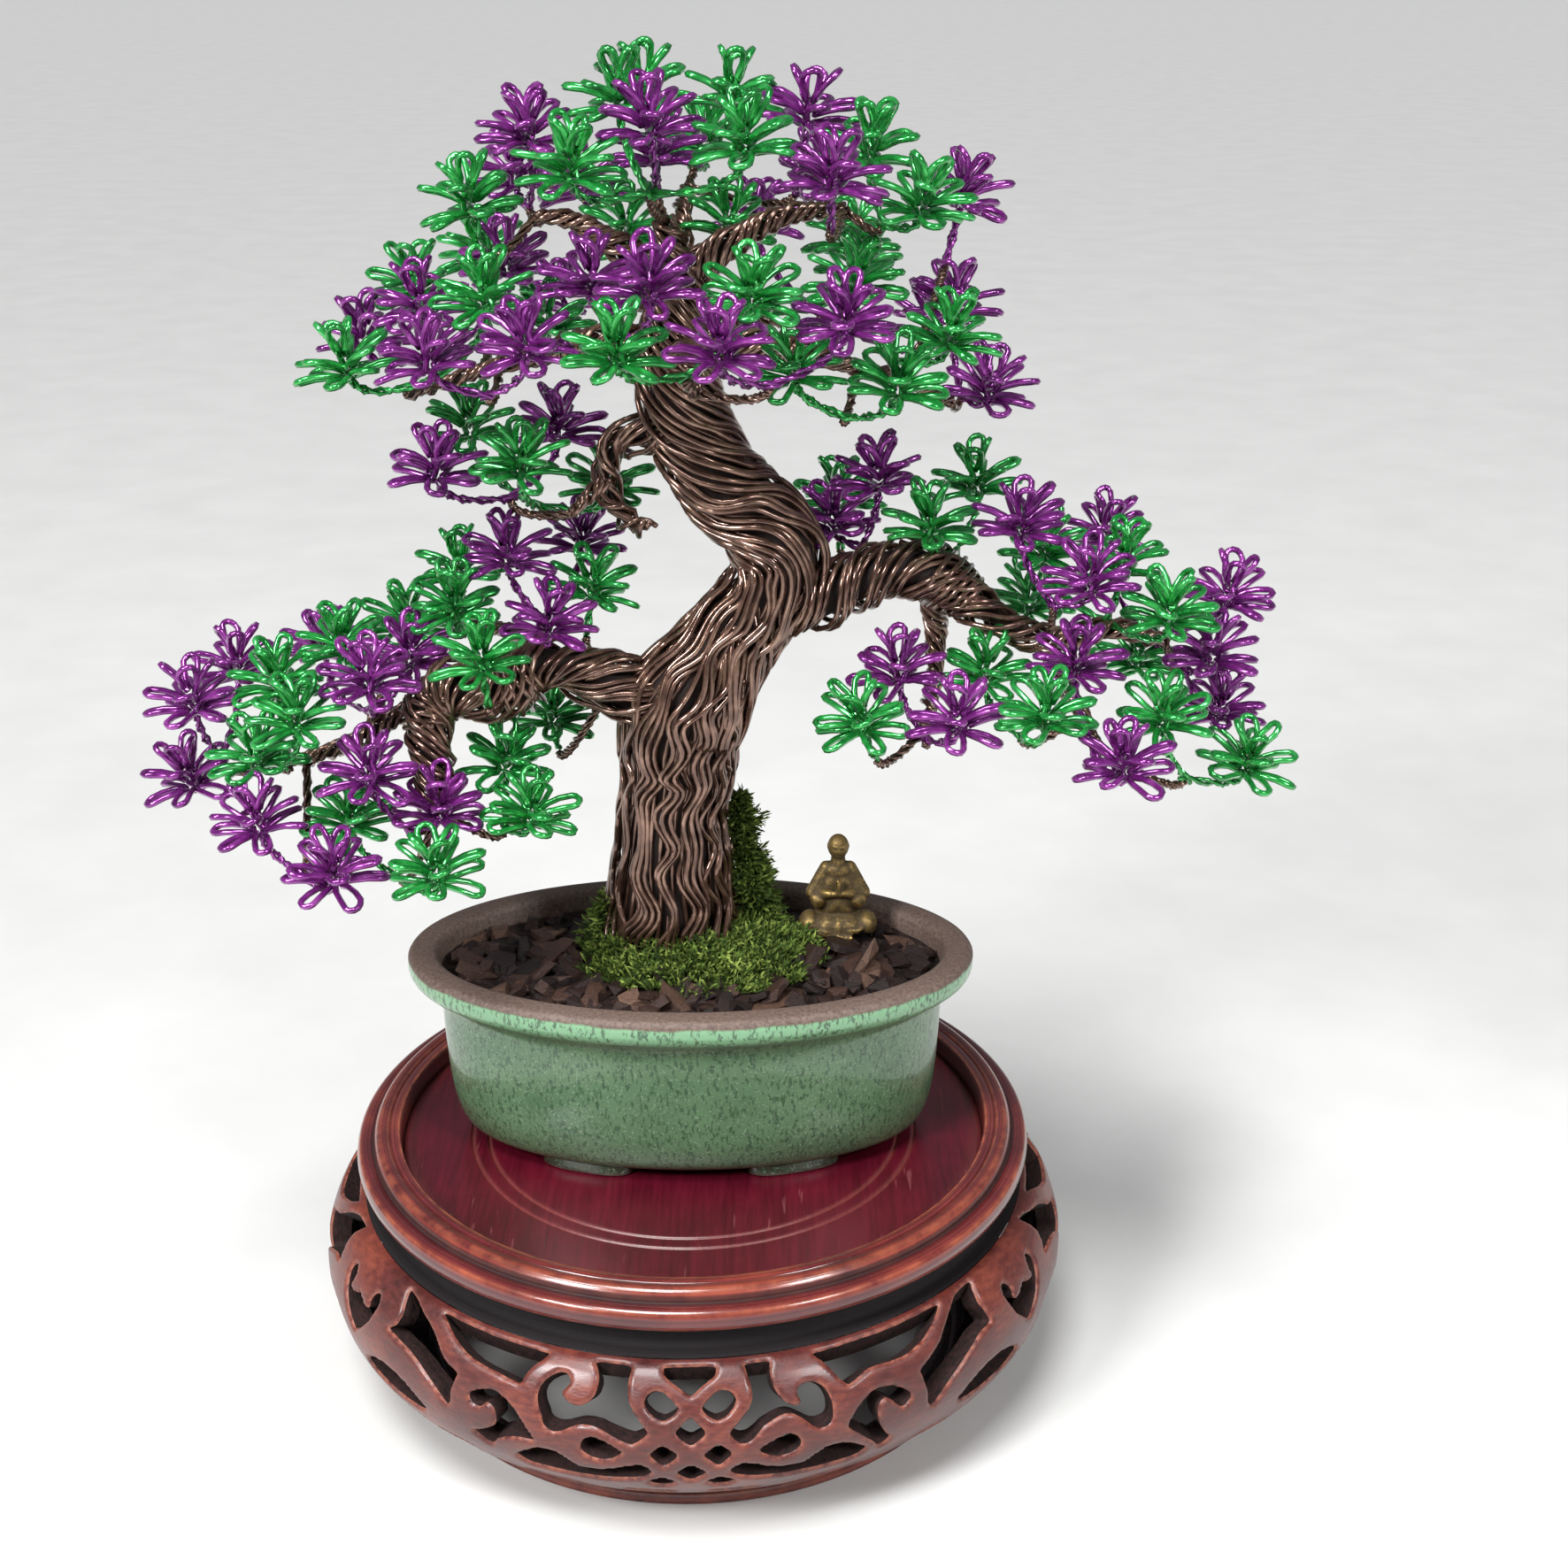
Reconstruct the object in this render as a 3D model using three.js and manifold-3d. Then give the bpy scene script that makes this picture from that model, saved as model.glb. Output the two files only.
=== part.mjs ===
// Wire azalea bonsai in a glazed oval pot on a round carved stand.
// Millimetres, +Z up, front towards -Y. The tree, pot and stand are laid out round the stand's axis, and the
// whole is then shifted so that the origin is the centre of its footprint, on the table.
import * as THREE from 'three';
import { mergeVertices } from 'three/addons/utils/BufferGeometryUtils.js';
import Module from 'manifold-3d';

const library = await Module();
library.setup();

// Driving dimensions
const GAP = 0.3;
const STAND_TURN = 1.5;
const RIM_RADIUS = 70.7;
const RIM_TOP = 54;
const PANEL_TOP = 48.8;
const PANEL_RADIUS = 61;
const PANEL_THICKNESS = 6;
const APRON_TOP = 40.2;
const BELLY_RADIUS = 78.4;
const BASE_RADIUS = 61.5;
const APRON_WALL = 5;
const POT_HALF_WIDTH = 34.4;
const POT_STRETCH = 23.8;
const POT_TOP = 91;
const BED_TOP = 88;
const BLOOM_RADIUS = 9.6;
const BLOOM_SPACING = 17.2;
const PETALS = 6;
const PETAL_THICKNESS = 1.1;
const VALLEY_RADIUS = 2.6;
const HIGH_TIER = 32;
const LOW_TIER = 4;
const STEM_RADIUS = 0.8;
const TWIG_RADIUS = 1.2;

const COLOURS = {
  copper: [0x78553f, 0.35, 0.8],
  green: [0x2fb14c, 0.3, 0.7],
  purple: [0x7a2384, 0.3, 0.7],
  moss: [0x4b6a23, 0.95, 0],
  bark: [0x4a3429, 0.9, 0],
  brass: [0x8b7444, 0.4, 0.9],
  glaze: [0x648769, 0.25, 0],
  lacquer: [0x7b2c2b, 0.35, 0],
  crimson: [0x5a1526, 0.3, 0],
};

// Small vector helpers
const vec = (p) => new THREE.Vector3(p[0], p[1], p[2]);
const mix = (a, b, t) => a.clone().lerp(b, t);

// A fixed sequence of draws from 0 to 1, the same on every run
function seededDraw(seed) {
  let state = seed;
  return () => {
    state = (state * 16807) % 2147483647;
    return state / 2147483647;
  };
}

// Closed solids

function solid(points, triangles) {
  const vertProperties = new Float32Array(points.flatMap((p) => [p.x, p.y, p.z]));
  const mesh = new library.Mesh({ numProp: 3, vertProperties, triVerts: new Uint32Array(triangles.flat()) });
  return new library.Manifold(mesh);
}

function solidFromGeometry(geometry) {
  const bare = geometry.clone();
  bare.deleteAttribute('normal');
  bare.deleteAttribute('uv');
  const merged = mergeVertices(bare, 1e-4);
  const mesh = new library.Mesh({
    numProp: 3,
    vertProperties: new Float32Array(merged.attributes.position.array),
    triVerts: new Uint32Array(merged.index.array),
  });
  return new library.Manifold(mesh);
}

function geometryOf(body) {
  const mesh = body.getMesh();
  const geometry = new THREE.BufferGeometry();
  geometry.setAttribute('position', new THREE.BufferAttribute(new Float32Array(mesh.vertProperties), 3));
  geometry.setIndex(new THREE.BufferAttribute(new Uint32Array(mesh.triVerts), 1));
  geometry.computeVertexNormals();
  return geometry;
}

const joined = (bodies) => bodies.reduce((sum, body) => sum.add(body));

// The largest connected piece of a solid, where a cut has left scraps
function largestPiece(body) {
  const pieces = body.decompose();
  return pieces.reduce((best, piece) => (piece.volume() > best.volume() ? piece : best));
}

// Rings of points joined into a closed skin, with a fan at each end or the last ring joined to the first
function skin(rings, looped = false) {
  const sides = rings[0].length;
  const points = rings.flat();
  const triangles = [];
  const at = (ring, side) => (ring % rings.length) * sides + (side % sides);
  const spans = looped ? rings.length : rings.length - 1;
  for (let ring = 0; ring < spans; ring += 1) {
    for (let side = 0; side < sides; side += 1) {
      triangles.push([at(ring, side), at(ring, side + 1), at(ring + 1, side)]);
      triangles.push([at(ring, side + 1), at(ring + 1, side + 1), at(ring + 1, side)]);
    }
  }
  if (!looped) {
    const centre = (ring) => ring.reduce((sum, p) => sum.add(p), new THREE.Vector3()).divideScalar(sides);
    const first = points.push(centre(rings[0])) - 1;
    const last = points.push(centre(rings[rings.length - 1])) - 1;
    for (let side = 0; side < sides; side += 1) {
      triangles.push([first, at(0, side + 1), at(0, side)]);
      triangles.push([last, at(rings.length - 1, side), at(rings.length - 1, side + 1)]);
    }
  }
  return solid(points, triangles);
}

// A turned or oval body: the profile is [radius, height] from the bottom outwards, up, and back in
function turned(profile, segments, { looped = false, stretch = 0 } = {}) {
  const rings = profile.map(([radius, height]) => {
    const ring = [];
    for (let k = 0; k < segments; k += 1) {
      const angle = (2 * Math.PI * k) / segments;
      ring.push(vec([(radius + stretch) * Math.cos(angle), radius * Math.sin(angle), height]));
    }
    return ring;
  });
  return skin(rings, looped);
}

// Stations [centre, radius] along a smooth curve through a path of [x, y, z, radius]
function stationsAlong(path, steps) {
  const curve = new THREE.CatmullRomCurve3(path.map(vec), false, 'catmullrom', 0.5);
  const stations = [];
  for (let i = 0; i <= steps; i += 1) {
    const place = (i / steps) * (path.length - 1);
    const lower = Math.min(Math.floor(place), path.length - 2);
    const radius = path[lower][3] + (path[lower + 1][3] - path[lower][3]) * (place - lower);
    stations.push([curve.getPoint(i / steps), radius]);
  }
  return stations;
}

// A tube through stations. ribs raises every other corner, and turn twists the section as it runs
function tube(stations, sides, { ribs = 0, turn = 0, grow = 0 } = {}) {
  const count = stations.length;
  const along = (i) => stations[Math.min(i + 1, count - 1)][0].clone().sub(stations[Math.max(i - 1, 0)][0]);
  let normal = new THREE.Vector3(1, 0, 0);
  if (Math.abs(along(0).normalize().x) > 0.8) normal = new THREE.Vector3(0, 1, 0);
  const rings = stations.map(([centre, radius], i) => {
    const tangent = along(i).normalize();
    normal = normal.clone().addScaledVector(tangent, -normal.dot(tangent)).normalize();
    const binormal = tangent.clone().cross(normal);
    const ring = [];
    for (let k = 0; k < sides; k += 1) {
      const angle = (2 * Math.PI * k) / sides + (turn * i) / (count - 1);
      const reach = radius * (1 + (k % 2 ? -ribs : ribs)) + grow;
      ring.push(centre.clone()
        .addScaledVector(normal, reach * Math.cos(angle))
        .addScaledVector(binormal, reach * Math.sin(angle)));
    }
    return ring;
  });
  return skin(rings);
}

// Stand

function standPanel() {
  return turned([[PANEL_RADIUS, PANEL_TOP - PANEL_THICKNESS], [PANEL_RADIUS, PANEL_TOP]], 32);
}

function standRim() {
  const inner = PANEL_RADIUS + GAP;
  const profile = [
    [inner, APRON_TOP + GAP], [66.6, APRON_TOP + GAP], [66.6, 45], [RIM_RADIUS, 47], [RIM_RADIUS, 50],
    [68.4, 53.2], [64.4, RIM_TOP], [inner, 52.4],
  ];
  return turned(profile, 32, { looped: true });
}

// The bulging section of the apron's outside, [radius, height], from the lip down to the base
const APRON_SECTION = [
  [69.7, APRON_TOP], [75.6, 36.2], [BELLY_RADIUS, 27], [74.6, 14.5], [BASE_RADIUS, 3.8],
];

// The apron's pierced openings, in a half sector from the knot at 0 to the leaf panel at 60 degrees. A point
// is [degrees, height], and each opening is cut again on the other side of the knot, three times round.
const APRON_OPENINGS = [
  [[8.5, 37], [12.5, 37], [14, 31.5], [18.5, 34], [20.5, 28], [15, 25.5], [8, 26]],
  [[22.5, 37], [42, 37.5], [35, 33], [23.5, 32]],
  [[46, 37.5], [49.5, 31], [42, 28.5], [36, 23.5], [35, 30]],
  [[24.5, 29], [30.5, 29], [28.5, 18], [22, 24]],
  [[9, 15.5], [19, 21], [24, 18], [16, 13.8]],
];
const APRON_MIDDLE_OPENINGS = [
  { centre: 0, outline: [[-3.6, 37], [3.6, 37], [0, 32]] },
  { centre: 60, outline: [[-4.2, 30.5], [4.2, 30.5], [0, 24.5]] },
];

function openingCutter(outline, turnDegrees) {
  let contour = outline.map(([degrees, height]) => new THREE.Vector2(degrees, height));
  if (THREE.ShapeUtils.isClockWise(contour)) contour = contour.reverse();
  const reach = [BASE_RADIUS - 12, BELLY_RADIUS + 6];
  const points = reach.flatMap((radius) => contour.map((corner) => {
    const angle = THREE.MathUtils.degToRad(corner.x + turnDegrees - 90);
    return vec([radius * Math.cos(angle), radius * Math.sin(angle), corner.y]);
  }));
  const count = contour.length;
  const triangles = [];
  for (const face of THREE.ShapeUtils.triangulateShape(contour, [])) {
    const [a, b, c] = THREE.ShapeUtils.isClockWise(face.map((k) => contour[k])) ? [...face].reverse() : face;
    triangles.push([a + count, b + count, c + count], [a, c, b]);
  }
  for (let k = 0; k < count; k += 1) {
    const next = (k + 1) % count;
    triangles.push([k, next, next + count], [k, next + count, k + count]);
  }
  return solid(points, triangles);
}

function standApron() {
  const outside = [...APRON_SECTION].reverse();
  const inside = [
    [APRON_SECTION[0][0] - APRON_WALL, APRON_TOP], [BELLY_RADIUS - APRON_WALL, 25],
    [BASE_RADIUS - APRON_WALL, 3.8],
  ];
  let body = turned([...outside, ...inside], 24, { looped: true });
  for (let sector = 0; sector < 3; sector += 1) {
    const turn = 120 * sector + STAND_TURN;
    for (const outline of APRON_OPENINGS) {
      const mirrored = outline.map(([degrees, height]) => [-degrees, height]);
      body = body.subtract(openingCutter(outline, turn));
      body = body.subtract(openingCutter(mirrored, turn));
    }
    for (const { centre, outline } of APRON_MIDDLE_OPENINGS) {
      body = body.subtract(openingCutter(outline, turn + centre));
    }
  }
  return largestPiece(body);
}

function standBase() {
  const top = 3.8 - GAP;
  const profile = [
    [BASE_RADIUS - 6, 0], [BASE_RADIUS + 0.4, 0], [BASE_RADIUS + 0.4, 2.6], [BASE_RADIUS - 0.6, top],
    [BASE_RADIUS - 6, top],
  ];
  return turned(profile, 32, { looped: true });
}

// Pot. Its profile is measured across the short way, and the long way is longer by the same amount all along

const POT_OUTSIDE = [[-11, 50.2], [-8.2, 52], [-7, 56], [-6.5, 68], [-6.2, 80], [-1.2, 86], [0, 89.4]];
const POT_INSIDE = [[-6.4, POT_TOP], [-9.2, 76], [-12.6, 60], [-19, 54.8]];

function pot() {
  const ring = ([inset, height]) => [POT_HALF_WIDTH + inset, height];
  const profile = [...POT_OUTSIDE, [-2, POT_TOP], ...POT_INSIDE].map(ring);
  let body = turned(profile, 28, { stretch: POT_STRETCH });
  const foot = new THREE.CylinderGeometry(4.6, 4.2, 51.6 - PANEL_TOP - GAP, 6);
  foot.rotateX(Math.PI / 2);
  const footHeight = (51.6 + PANEL_TOP + GAP) / 2;
  for (const side of [-1, 1]) {
    for (const end of [-1, 1]) {
      const placed = foot.clone().scale(2.1, 0.75, 1).rotateZ(-side * end * 0.28);
      placed.translate(21 * end, 17.2 * side, footHeight);
      body = body.add(solidFromGeometry(placed));
    }
  }
  return body;
}

// The bed of bark chips: a filling whose top is broken into chips, and is flat under the moss and the figure
function barkBed(cuts) {
  const draw = seededDraw(11);
  const segments = 24;
  const shares = [1, 0.84, 0.66, 0.46, 0.22];
  const side = [[-19.6, 55.2], [-13.2, 60], [-9.8, 76]];
  const rings = side.map(([inset, height]) => ring(POT_HALF_WIDTH + inset, height));
  const edge = POT_HALF_WIDTH - 8.6;
  for (const share of shares) {
    rings.push(ring(edge * share, BED_TOP, share).map((p) => {
      const covered = Math.hypot(p.x - MOSS_CENTRE[0], p.y - MOSS_CENTRE[1]) < MOSS_RADIUS + 7;
      const underFigure = Math.hypot(p.x - FIGURE_PLACE[0], p.y - FIGURE_PLACE[1]) < 17;
      const chip = share === 1 ? -1.5 + draw() : draw() * 2.2 - 0.6;
      p.z += covered || underFigure ? -0.2 : chip;
      return p;
    }));
  }
  function ring(radius, height, share = 1) {
    const points = [];
    for (let k = 0; k < segments; k += 1) {
      const angle = (2 * Math.PI * (k + (share < 1 ? 0.5 * shares.indexOf(share) : 0))) / segments;
      points.push(vec([(radius + POT_STRETCH * share) * Math.cos(angle), radius * Math.sin(angle), height]));
    }
    return points;
  }
  return cuts.reduce((body, cut) => body.subtract(cut), skin(rings));
}

// Moss mound round the trunk's foot, with a ridge of moss that climbs the trunk's right side
const MOSS_CENTRE = [0.5, 3];
const MOSS_RADIUS = 23.5;

function moss(cuts) {
  const draw = seededDraw(5);
  const segments = 15;
  const bottom = BED_TOP + 0.15;
  const shares = [[1, 0.2], [0.96, 1.6], [0.8, 4.4], [0.5, 7]];
  const rings = shares.map(([share, height]) => {
    const ring = [];
    for (let k = 0; k < segments; k += 1) {
      const angle = (2 * Math.PI * k) / segments;
      const lobe = 1 + 0.08 * Math.cos(angle + 0.35) - 0.07 * Math.sin(3 * angle);
      const lift = height > 0.2 ? height + (draw() - 0.5) * 1.4 : 0;
      const reach = MOSS_RADIUS * share * lobe;
      const across = MOSS_CENTRE[0] + reach * Math.cos(angle);
      const forward = MOSS_CENTRE[1] + 0.86 * reach * Math.sin(angle);
      ring.push(vec([across, forward, bottom + lift]));
    }
    return ring;
  });
  const climb = [
    [13, 9, 90, 5.5], [11.5, 10, 99, 4.2], [9.5, 9, 107, 3.4], [8.5, 9.5, 114, 2.8], [9, 9, 120, 1.5],
  ];
  const ridge = tube(stationsAlong(climb, 5), 6, { ribs: 0.12, turn: 1.5 });
  const body = skin(rings).add(ridge);
  return largestPiece(cuts.reduce((rest, cut) => rest.subtract(cut), body));
}

// Small seated brass figure with joined palms
const FIGURE_PLACE = [30.5, 12];

function figure() {
  const floor = BED_TOP + GAP;
  const lap = new THREE.SphereGeometry(1, 9, 5);
  lap.scale(8.2, 5.2, 2.9);
  lap.translate(0, -0.6, 2.4);
  const foot = new THREE.CylinderGeometry(6.6, 6.8, 1.6, 8);
  foot.rotateX(Math.PI / 2);
  foot.scale(1.05, 0.66, 1);
  foot.translate(0, 0, 0.8);
  const torso = turned([[4.3, 2], [3.6, 7], [3.8, 11.4], [3.3, 14.2], [1.4, 16.2], [1.2, 18.2]], 7);
  const head = new THREE.SphereGeometry(2.05, 7, 5);
  head.rotateX(Math.PI / 2);
  head.scale(0.94, 1, 1.12);
  head.translate(0, -0.2, 20.3);
  const bodies = [lap, foot, head].map(solidFromGeometry);
  bodies.push(torso.scale([1, 0.72, 1]));
  for (const side of [-1, 1]) {
    const arm = [
      [3.2 * side, 0, 13.8, 1.5], [4.8 * side, -1.2, 9.2, 1.5],
      [1.5 * side, -3.8, 10.2, 1.1], [0, -4, 12, 0.9],
    ];
    bodies.push(tube(stationsAlong(arm, 3), 4));
  }
  const palms = new THREE.CylinderGeometry(0.4, 0.95, 4, 5);
  palms.rotateX(Math.PI / 2);
  palms.translate(0, -4, 13.1);
  bodies.push(solidFromGeometry(palms));
  return largestPiece(joined(bodies).translate([FIGURE_PLACE[0], FIGURE_PLACE[1], floor]));
}

// Tree. Each path is a chain of [x, y, z, radius] down the middle of a bundle of wire

const TRUNK = [
  [-4, 6, 76, 9], [-4, 6, 86, 13], [-4, 6, 92, 14.6], [-3.8, 5, 98, 13.8], [-3.7, 4, 105, 13],
  [-3.5, 3, 114, 12], [-2.8, 2, 122, 10.8], [-1.8, 2, 131, 11.8], [-1.5, 1, 138, 12], [0.8, 0.5, 145, 12.4],
  [4.5, 0, 151, 10.6], [9, 0, 157.5, 9], [14.5, 0, 164, 8.4], [18, 0, 170, 9], [18.2, 0, 175, 9.2],
  [14.5, 0, 181, 8.6], [8.5, 0, 186.5, 8.6], [4.6, 0, 192.5, 8.2], [2, 0, 199, 8.1], [0, -1, 206, 7.8],
  [-0.5, -1, 214, 7.2], [0, -1, 222, 6], [1, -1, 229, 4.4],
];
const LIMBS = {
  left: [
    [-2, 1, 140, 7.4], [-9, 0, 145.5, 7], [-17, -1, 149.5, 5.6], [-23, -3, 153, 4.8], [-29, -6, 153.6, 5],
    [-33, -8, 150, 6], [-38, -8, 148.5, 5.2], [-44, -10, 150.5, 5.8], [-48.5, -13, 147, 5],
    [-48.5, -15, 141, 3.2], [-47.5, -15, 136, 2.4],
  ],
  leftEnd: [
    [-46, -11, 148, 3], [-55, -11, 145, 2.2], [-64, -12, 140, 2], [-73, -11, 136.5, 1.7], [-81, -9, 135, 1.4],
  ],
  leftHigh: [[-27, -4, 153, 3.4], [-30, 1, 156, 2.4], [-38, 8, 157, 1.7], [-43, 12, 157, 1.5]],
  leftInner: [[-19, -1, 150, 3], [-19.5, 3, 154, 2]],
  right: [
    [16, 0, 163, 6], [25, 0, 165, 6], [33, 0, 169, 5.7], [41, 0, 171.5, 5.7], [48, -1, 170.5, 6],
    [54, -2, 166.5, 4.6], [60, -4, 162.5, 3.3], [67, -6, 159.5, 2.9], [75, -6, 160, 2.8], [83, -6, 161, 2.2],
    [92, -6, 159, 1.6],
  ],
  rightFork: [[48, -1, 166, 3], [49, 2, 158, 2.4], [48, -4, 149, 2], [46, -14, 143.5, 1.6]],
  rightDroop: [[69, -6, 159, 2.6], [74, -14, 150, 2], [78, -22, 143, 1.6]],
  rightHigh: [[43, 0, 172, 3], [42, 3, 175, 2]],
  small: [
    [-1, 0, 197, 4.6], [-8, 1, 197, 3.4], [-12.5, 3, 194.5, 3], [-14.5, 4, 189, 2.7], [-13, 3, 183, 2.4],
    [-9, 0, 179.5, 2], [-6, -3, 181, 1.4],
  ],
  smallTwig: [[-14, 4, 188, 2.2], [-18, 2, 185, 1.8], [-21, -1, 182.5, 1.4]],
  crownTop: [[0, -1, 220, 5], [-1, -3, 230, 3.6], [-2, -4, 237, 2.4]],
  crownRightHigh: [[1, -1, 226, 4], [10, -3, 233, 3], [20, -4, 238, 2.2], [30, -6, 239, 1.6]],
  crownLeftHigh: [[-1, -1, 226, 4], [-10, -3, 232, 3], [-19, -4, 237, 2], [-25, -6, 238, 1.5]],
  crownLeft: [
    [-2, -1, 214, 4], [-14, -2, 215, 3], [-28, -2, 212, 2.2], [-42, -2, 208, 1.6], [-51, -2, 205, 1.3],
  ],
  crownRight: [
    [2, -1, 214, 4], [14, -3, 215, 3], [28, -4, 212, 2.4], [42, -4, 208, 1.6], [50, -3, 204, 1.3],
  ],
  crownFront: [[0, -2, 212, 4], [2, -12, 214, 3], [4, -24, 214, 2], [4, -34, 212, 1.5]],
  crownBack: [[0, 0, 214, 4], [1, 12, 216, 3], [2, 26, 217, 2], [4, 38, 214, 1.5]],
  crownBackHigh: [[0, 0, 224, 3.5], [0, 8, 234, 2.4], [1, 20, 240, 1.6]],
};

// The middle of each cluster of blooms, from which they lean outwards, and how far they all lean forward
const CLUSTERS = {
  crown: [0, 0, 0.24], small: [-26, 4, 0.12], left: [-58, -6, 0], right: [70, -6, 0.08],
};

// Sprays: a name that starts with its cluster, a colour, and the middle of each bloom
const SPRAYS = [
  ['crown_top_front', 'green', [-9, -8, 257], [-16, -28, 248], [11, -26, 252]],
  ['crown_top_back', 'green', [-4, 18, 257], [9, 14, 256], [4, 38, 246]],
  ['crown_right_high', 'green', [34, -5, 249], [43, -18, 241]],
  ['crown_left_high', 'green', [-36, -8, 240]],
  ['crown_inner', 'green', [-10, 10, 233], [9, 9, 234]],
  ['crown_right_inner', 'green', [32, 18, 230]],
  ['crown_top_left', 'purple', [-26, -2, 251], [-31, 18, 242]],
  ['crown_top_middle', 'purple', [-1, -22, 254], [-4, 6, 247]],
  ['crown_top_right', 'purple', [22, 6, 254], [26, 34, 240]],
  ['crown_front_high', 'purple', [26, -30, 247]],
  ['crown_right_high', 'purple', [52, 10, 239]],
  ['crown_left_back', 'purple', [-32, 8, 227], [-47, -2, 221], [-59, 10, 214]],
  ['crown_left_front', 'purple', [-43, -22, 215], [-25, -30, 219]],
  ['crown_left_low', 'green', [-33, -18, 225], [-60, -8, 211]],
  ['crown_left_back', 'green', [-40, 32, 226], [-51, 14, 221], [-26, 14, 215]],
  ['crown_front', 'green', [-8, -44, 221], [14, -36, 228]],
  ['crown_front_left', 'purple', [-3, -36, 229], [-14, -20, 228]],
  ['crown_front_right', 'purple', [9, -48, 222], [29, -34, 224]],
  ['crown_right_middle', 'green', [32, -8, 226], [48, -18, 218]],
  ['crown_right_low', 'green', [21, -16, 212], [39, -28, 212]],
  ['crown_right_low', 'purple', [57, 0, 205], [51, 10, 219]],
  ['crown_back', 'green', [-4, 54, 218], [34, 42, 222]],
  ['crown_back_left', 'purple', [-20, 36, 238], [-26, 50, 214]],
  ['crown_back_right', 'purple', [14, 48, 230], [48, 30, 212]],
  ['small_branch', 'green', [-41, 8, 196], [-29, -12, 194], [-15, 14, 184]],
  ['small_branch', 'purple', [-24, 8, 196], [-45, -6, 192]],
  ['left_upper', 'purple', [-36, 2, 171], [-21, 18, 170], [-25, -10, 163]],
  ['left_upper', 'green', [-46, 20, 165], [-44, -2, 164]],
  ['left_inner', 'green', [-19, 6, 166]],
  ['left_front', 'green', [-36, -22, 160]],
  ['left_back', 'green', [-28, 16, 135]],
  ['left_middle', 'purple', [-55, -4, 156], [-58, -18, 155], [-72, 14, 150]],
  ['left_middle', 'green', [-59, 16, 154], [-69, 4, 152]],
  ['left_end', 'purple', [-90, 8, 148], [-93, -8, 147], [-98, -4, 129]],
  ['left_end', 'green', [-75, -4, 151], [-71, -22, 149], [-81, -18, 138]],
  ['left_low_inner', 'purple', [-58, -26, 139], [-46, -24, 130]],
  ['left_low_outer', 'purple', [-79, -24, 129], [-64, -36, 123]],
  ['left_low_outer', 'green', [-65, -20, 127], [-45, -36, 124]],
  ['left_low_inner', 'green', [-29, -22, 129], [-35, -8, 134]],
  ['right_inner', 'green', [57, 14, 184], [45, -4, 182]],
  ['right_inner', 'purple', [39, 2, 186], [29, 10, 178]],
  ['right_back', 'green', [30, 24, 178]],
  ['right_middle', 'purple', [63, -10, 182], [78, -18, 173]],
  ['right_middle', 'green', [72, 6, 173], [82, -4, 173], [88, -20, 169]],
  ['right_end', 'purple', [82, 16, 173], [105, 2, 164], [101, -8, 157], [105, -4, 142]],
  ['right_end', 'green', [89, 6, 151], [69, 20, 158]],
  ['right_low_inner', 'purple', [41, -14, 154], [51, -30, 151]],
  ['right_low_inner', 'green', [34, -26, 150]],
  ['right_low_front', 'green', [57, -10, 153], [66, -36, 154]],
  ['right_low_middle', 'green', [89, -26, 150], [107, -14, 138]],
  ['right_low_middle', 'purple', [73, -22, 159], [80, -40, 146]],
];

// Blooms closer than their spread are eased apart, each held towards its first place
function spacedBlooms() {
  const blooms = SPRAYS.flatMap(([cluster, colour, ...places], spray) => places.map((place) => (
    { spray, first: vec(place), place: vec(place), cluster: CLUSTERS[cluster.split('_')[0]] }
  )));
  const flatten = 1.5;
  for (let round = 0; round < 60; round += 1) {
    for (let i = 0; i < blooms.length; i += 1) {
      for (let j = i + 1; j < blooms.length; j += 1) {
        const between = blooms[j].place.clone().sub(blooms[i].place);
        const distance = Math.hypot(between.x, between.y, flatten * between.z);
        if (distance < BLOOM_SPACING) {
          const push = ((BLOOM_SPACING - distance) / distance) * 0.25;
          blooms[i].place.addScaledVector(between, -push);
          blooms[j].place.addScaledVector(between, push);
        }
      }
    }
    for (const bloom of blooms) bloom.place.lerp(bloom.first, 0.02);
  }
  blooms.forEach((bloom, k) => {
    const [x, y, forward] = bloom.cluster;
    const lean = [(bloom.place.x - x) / 400, (bloom.place.y - y) / 400 - forward];
    bloom.axis = vec([lean[0] + 0.08 * Math.sin(2.1 * k), lean[1] + 0.08 * Math.cos(1.7 * k), 1]).normalize();
    bloom.spin = 1.3 * k;
    bloom.reach = Array(PETALS).fill(1);
  });
  return blooms;
}

// The frame of a bloom: two directions across it, and a point from an angle, a radius and a height
function bloomFrame(bloom) {
  const across = new THREE.Vector3(0, 1, 0).cross(bloom.axis).normalize();
  const forward = bloom.axis.clone().cross(across);
  const point = (angle, radius, height) => bloom.place.clone()
    .addScaledVector(across, radius * Math.cos(angle))
    .addScaledVector(forward, radius * Math.sin(angle))
    .addScaledVector(bloom.axis, height);
  const angleOf = (spot) => {
    const offset = spot.clone().sub(bloom.place);
    return Math.atan2(offset.dot(forward), offset.dot(across));
  };
  return { point, angleOf };
}

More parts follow.
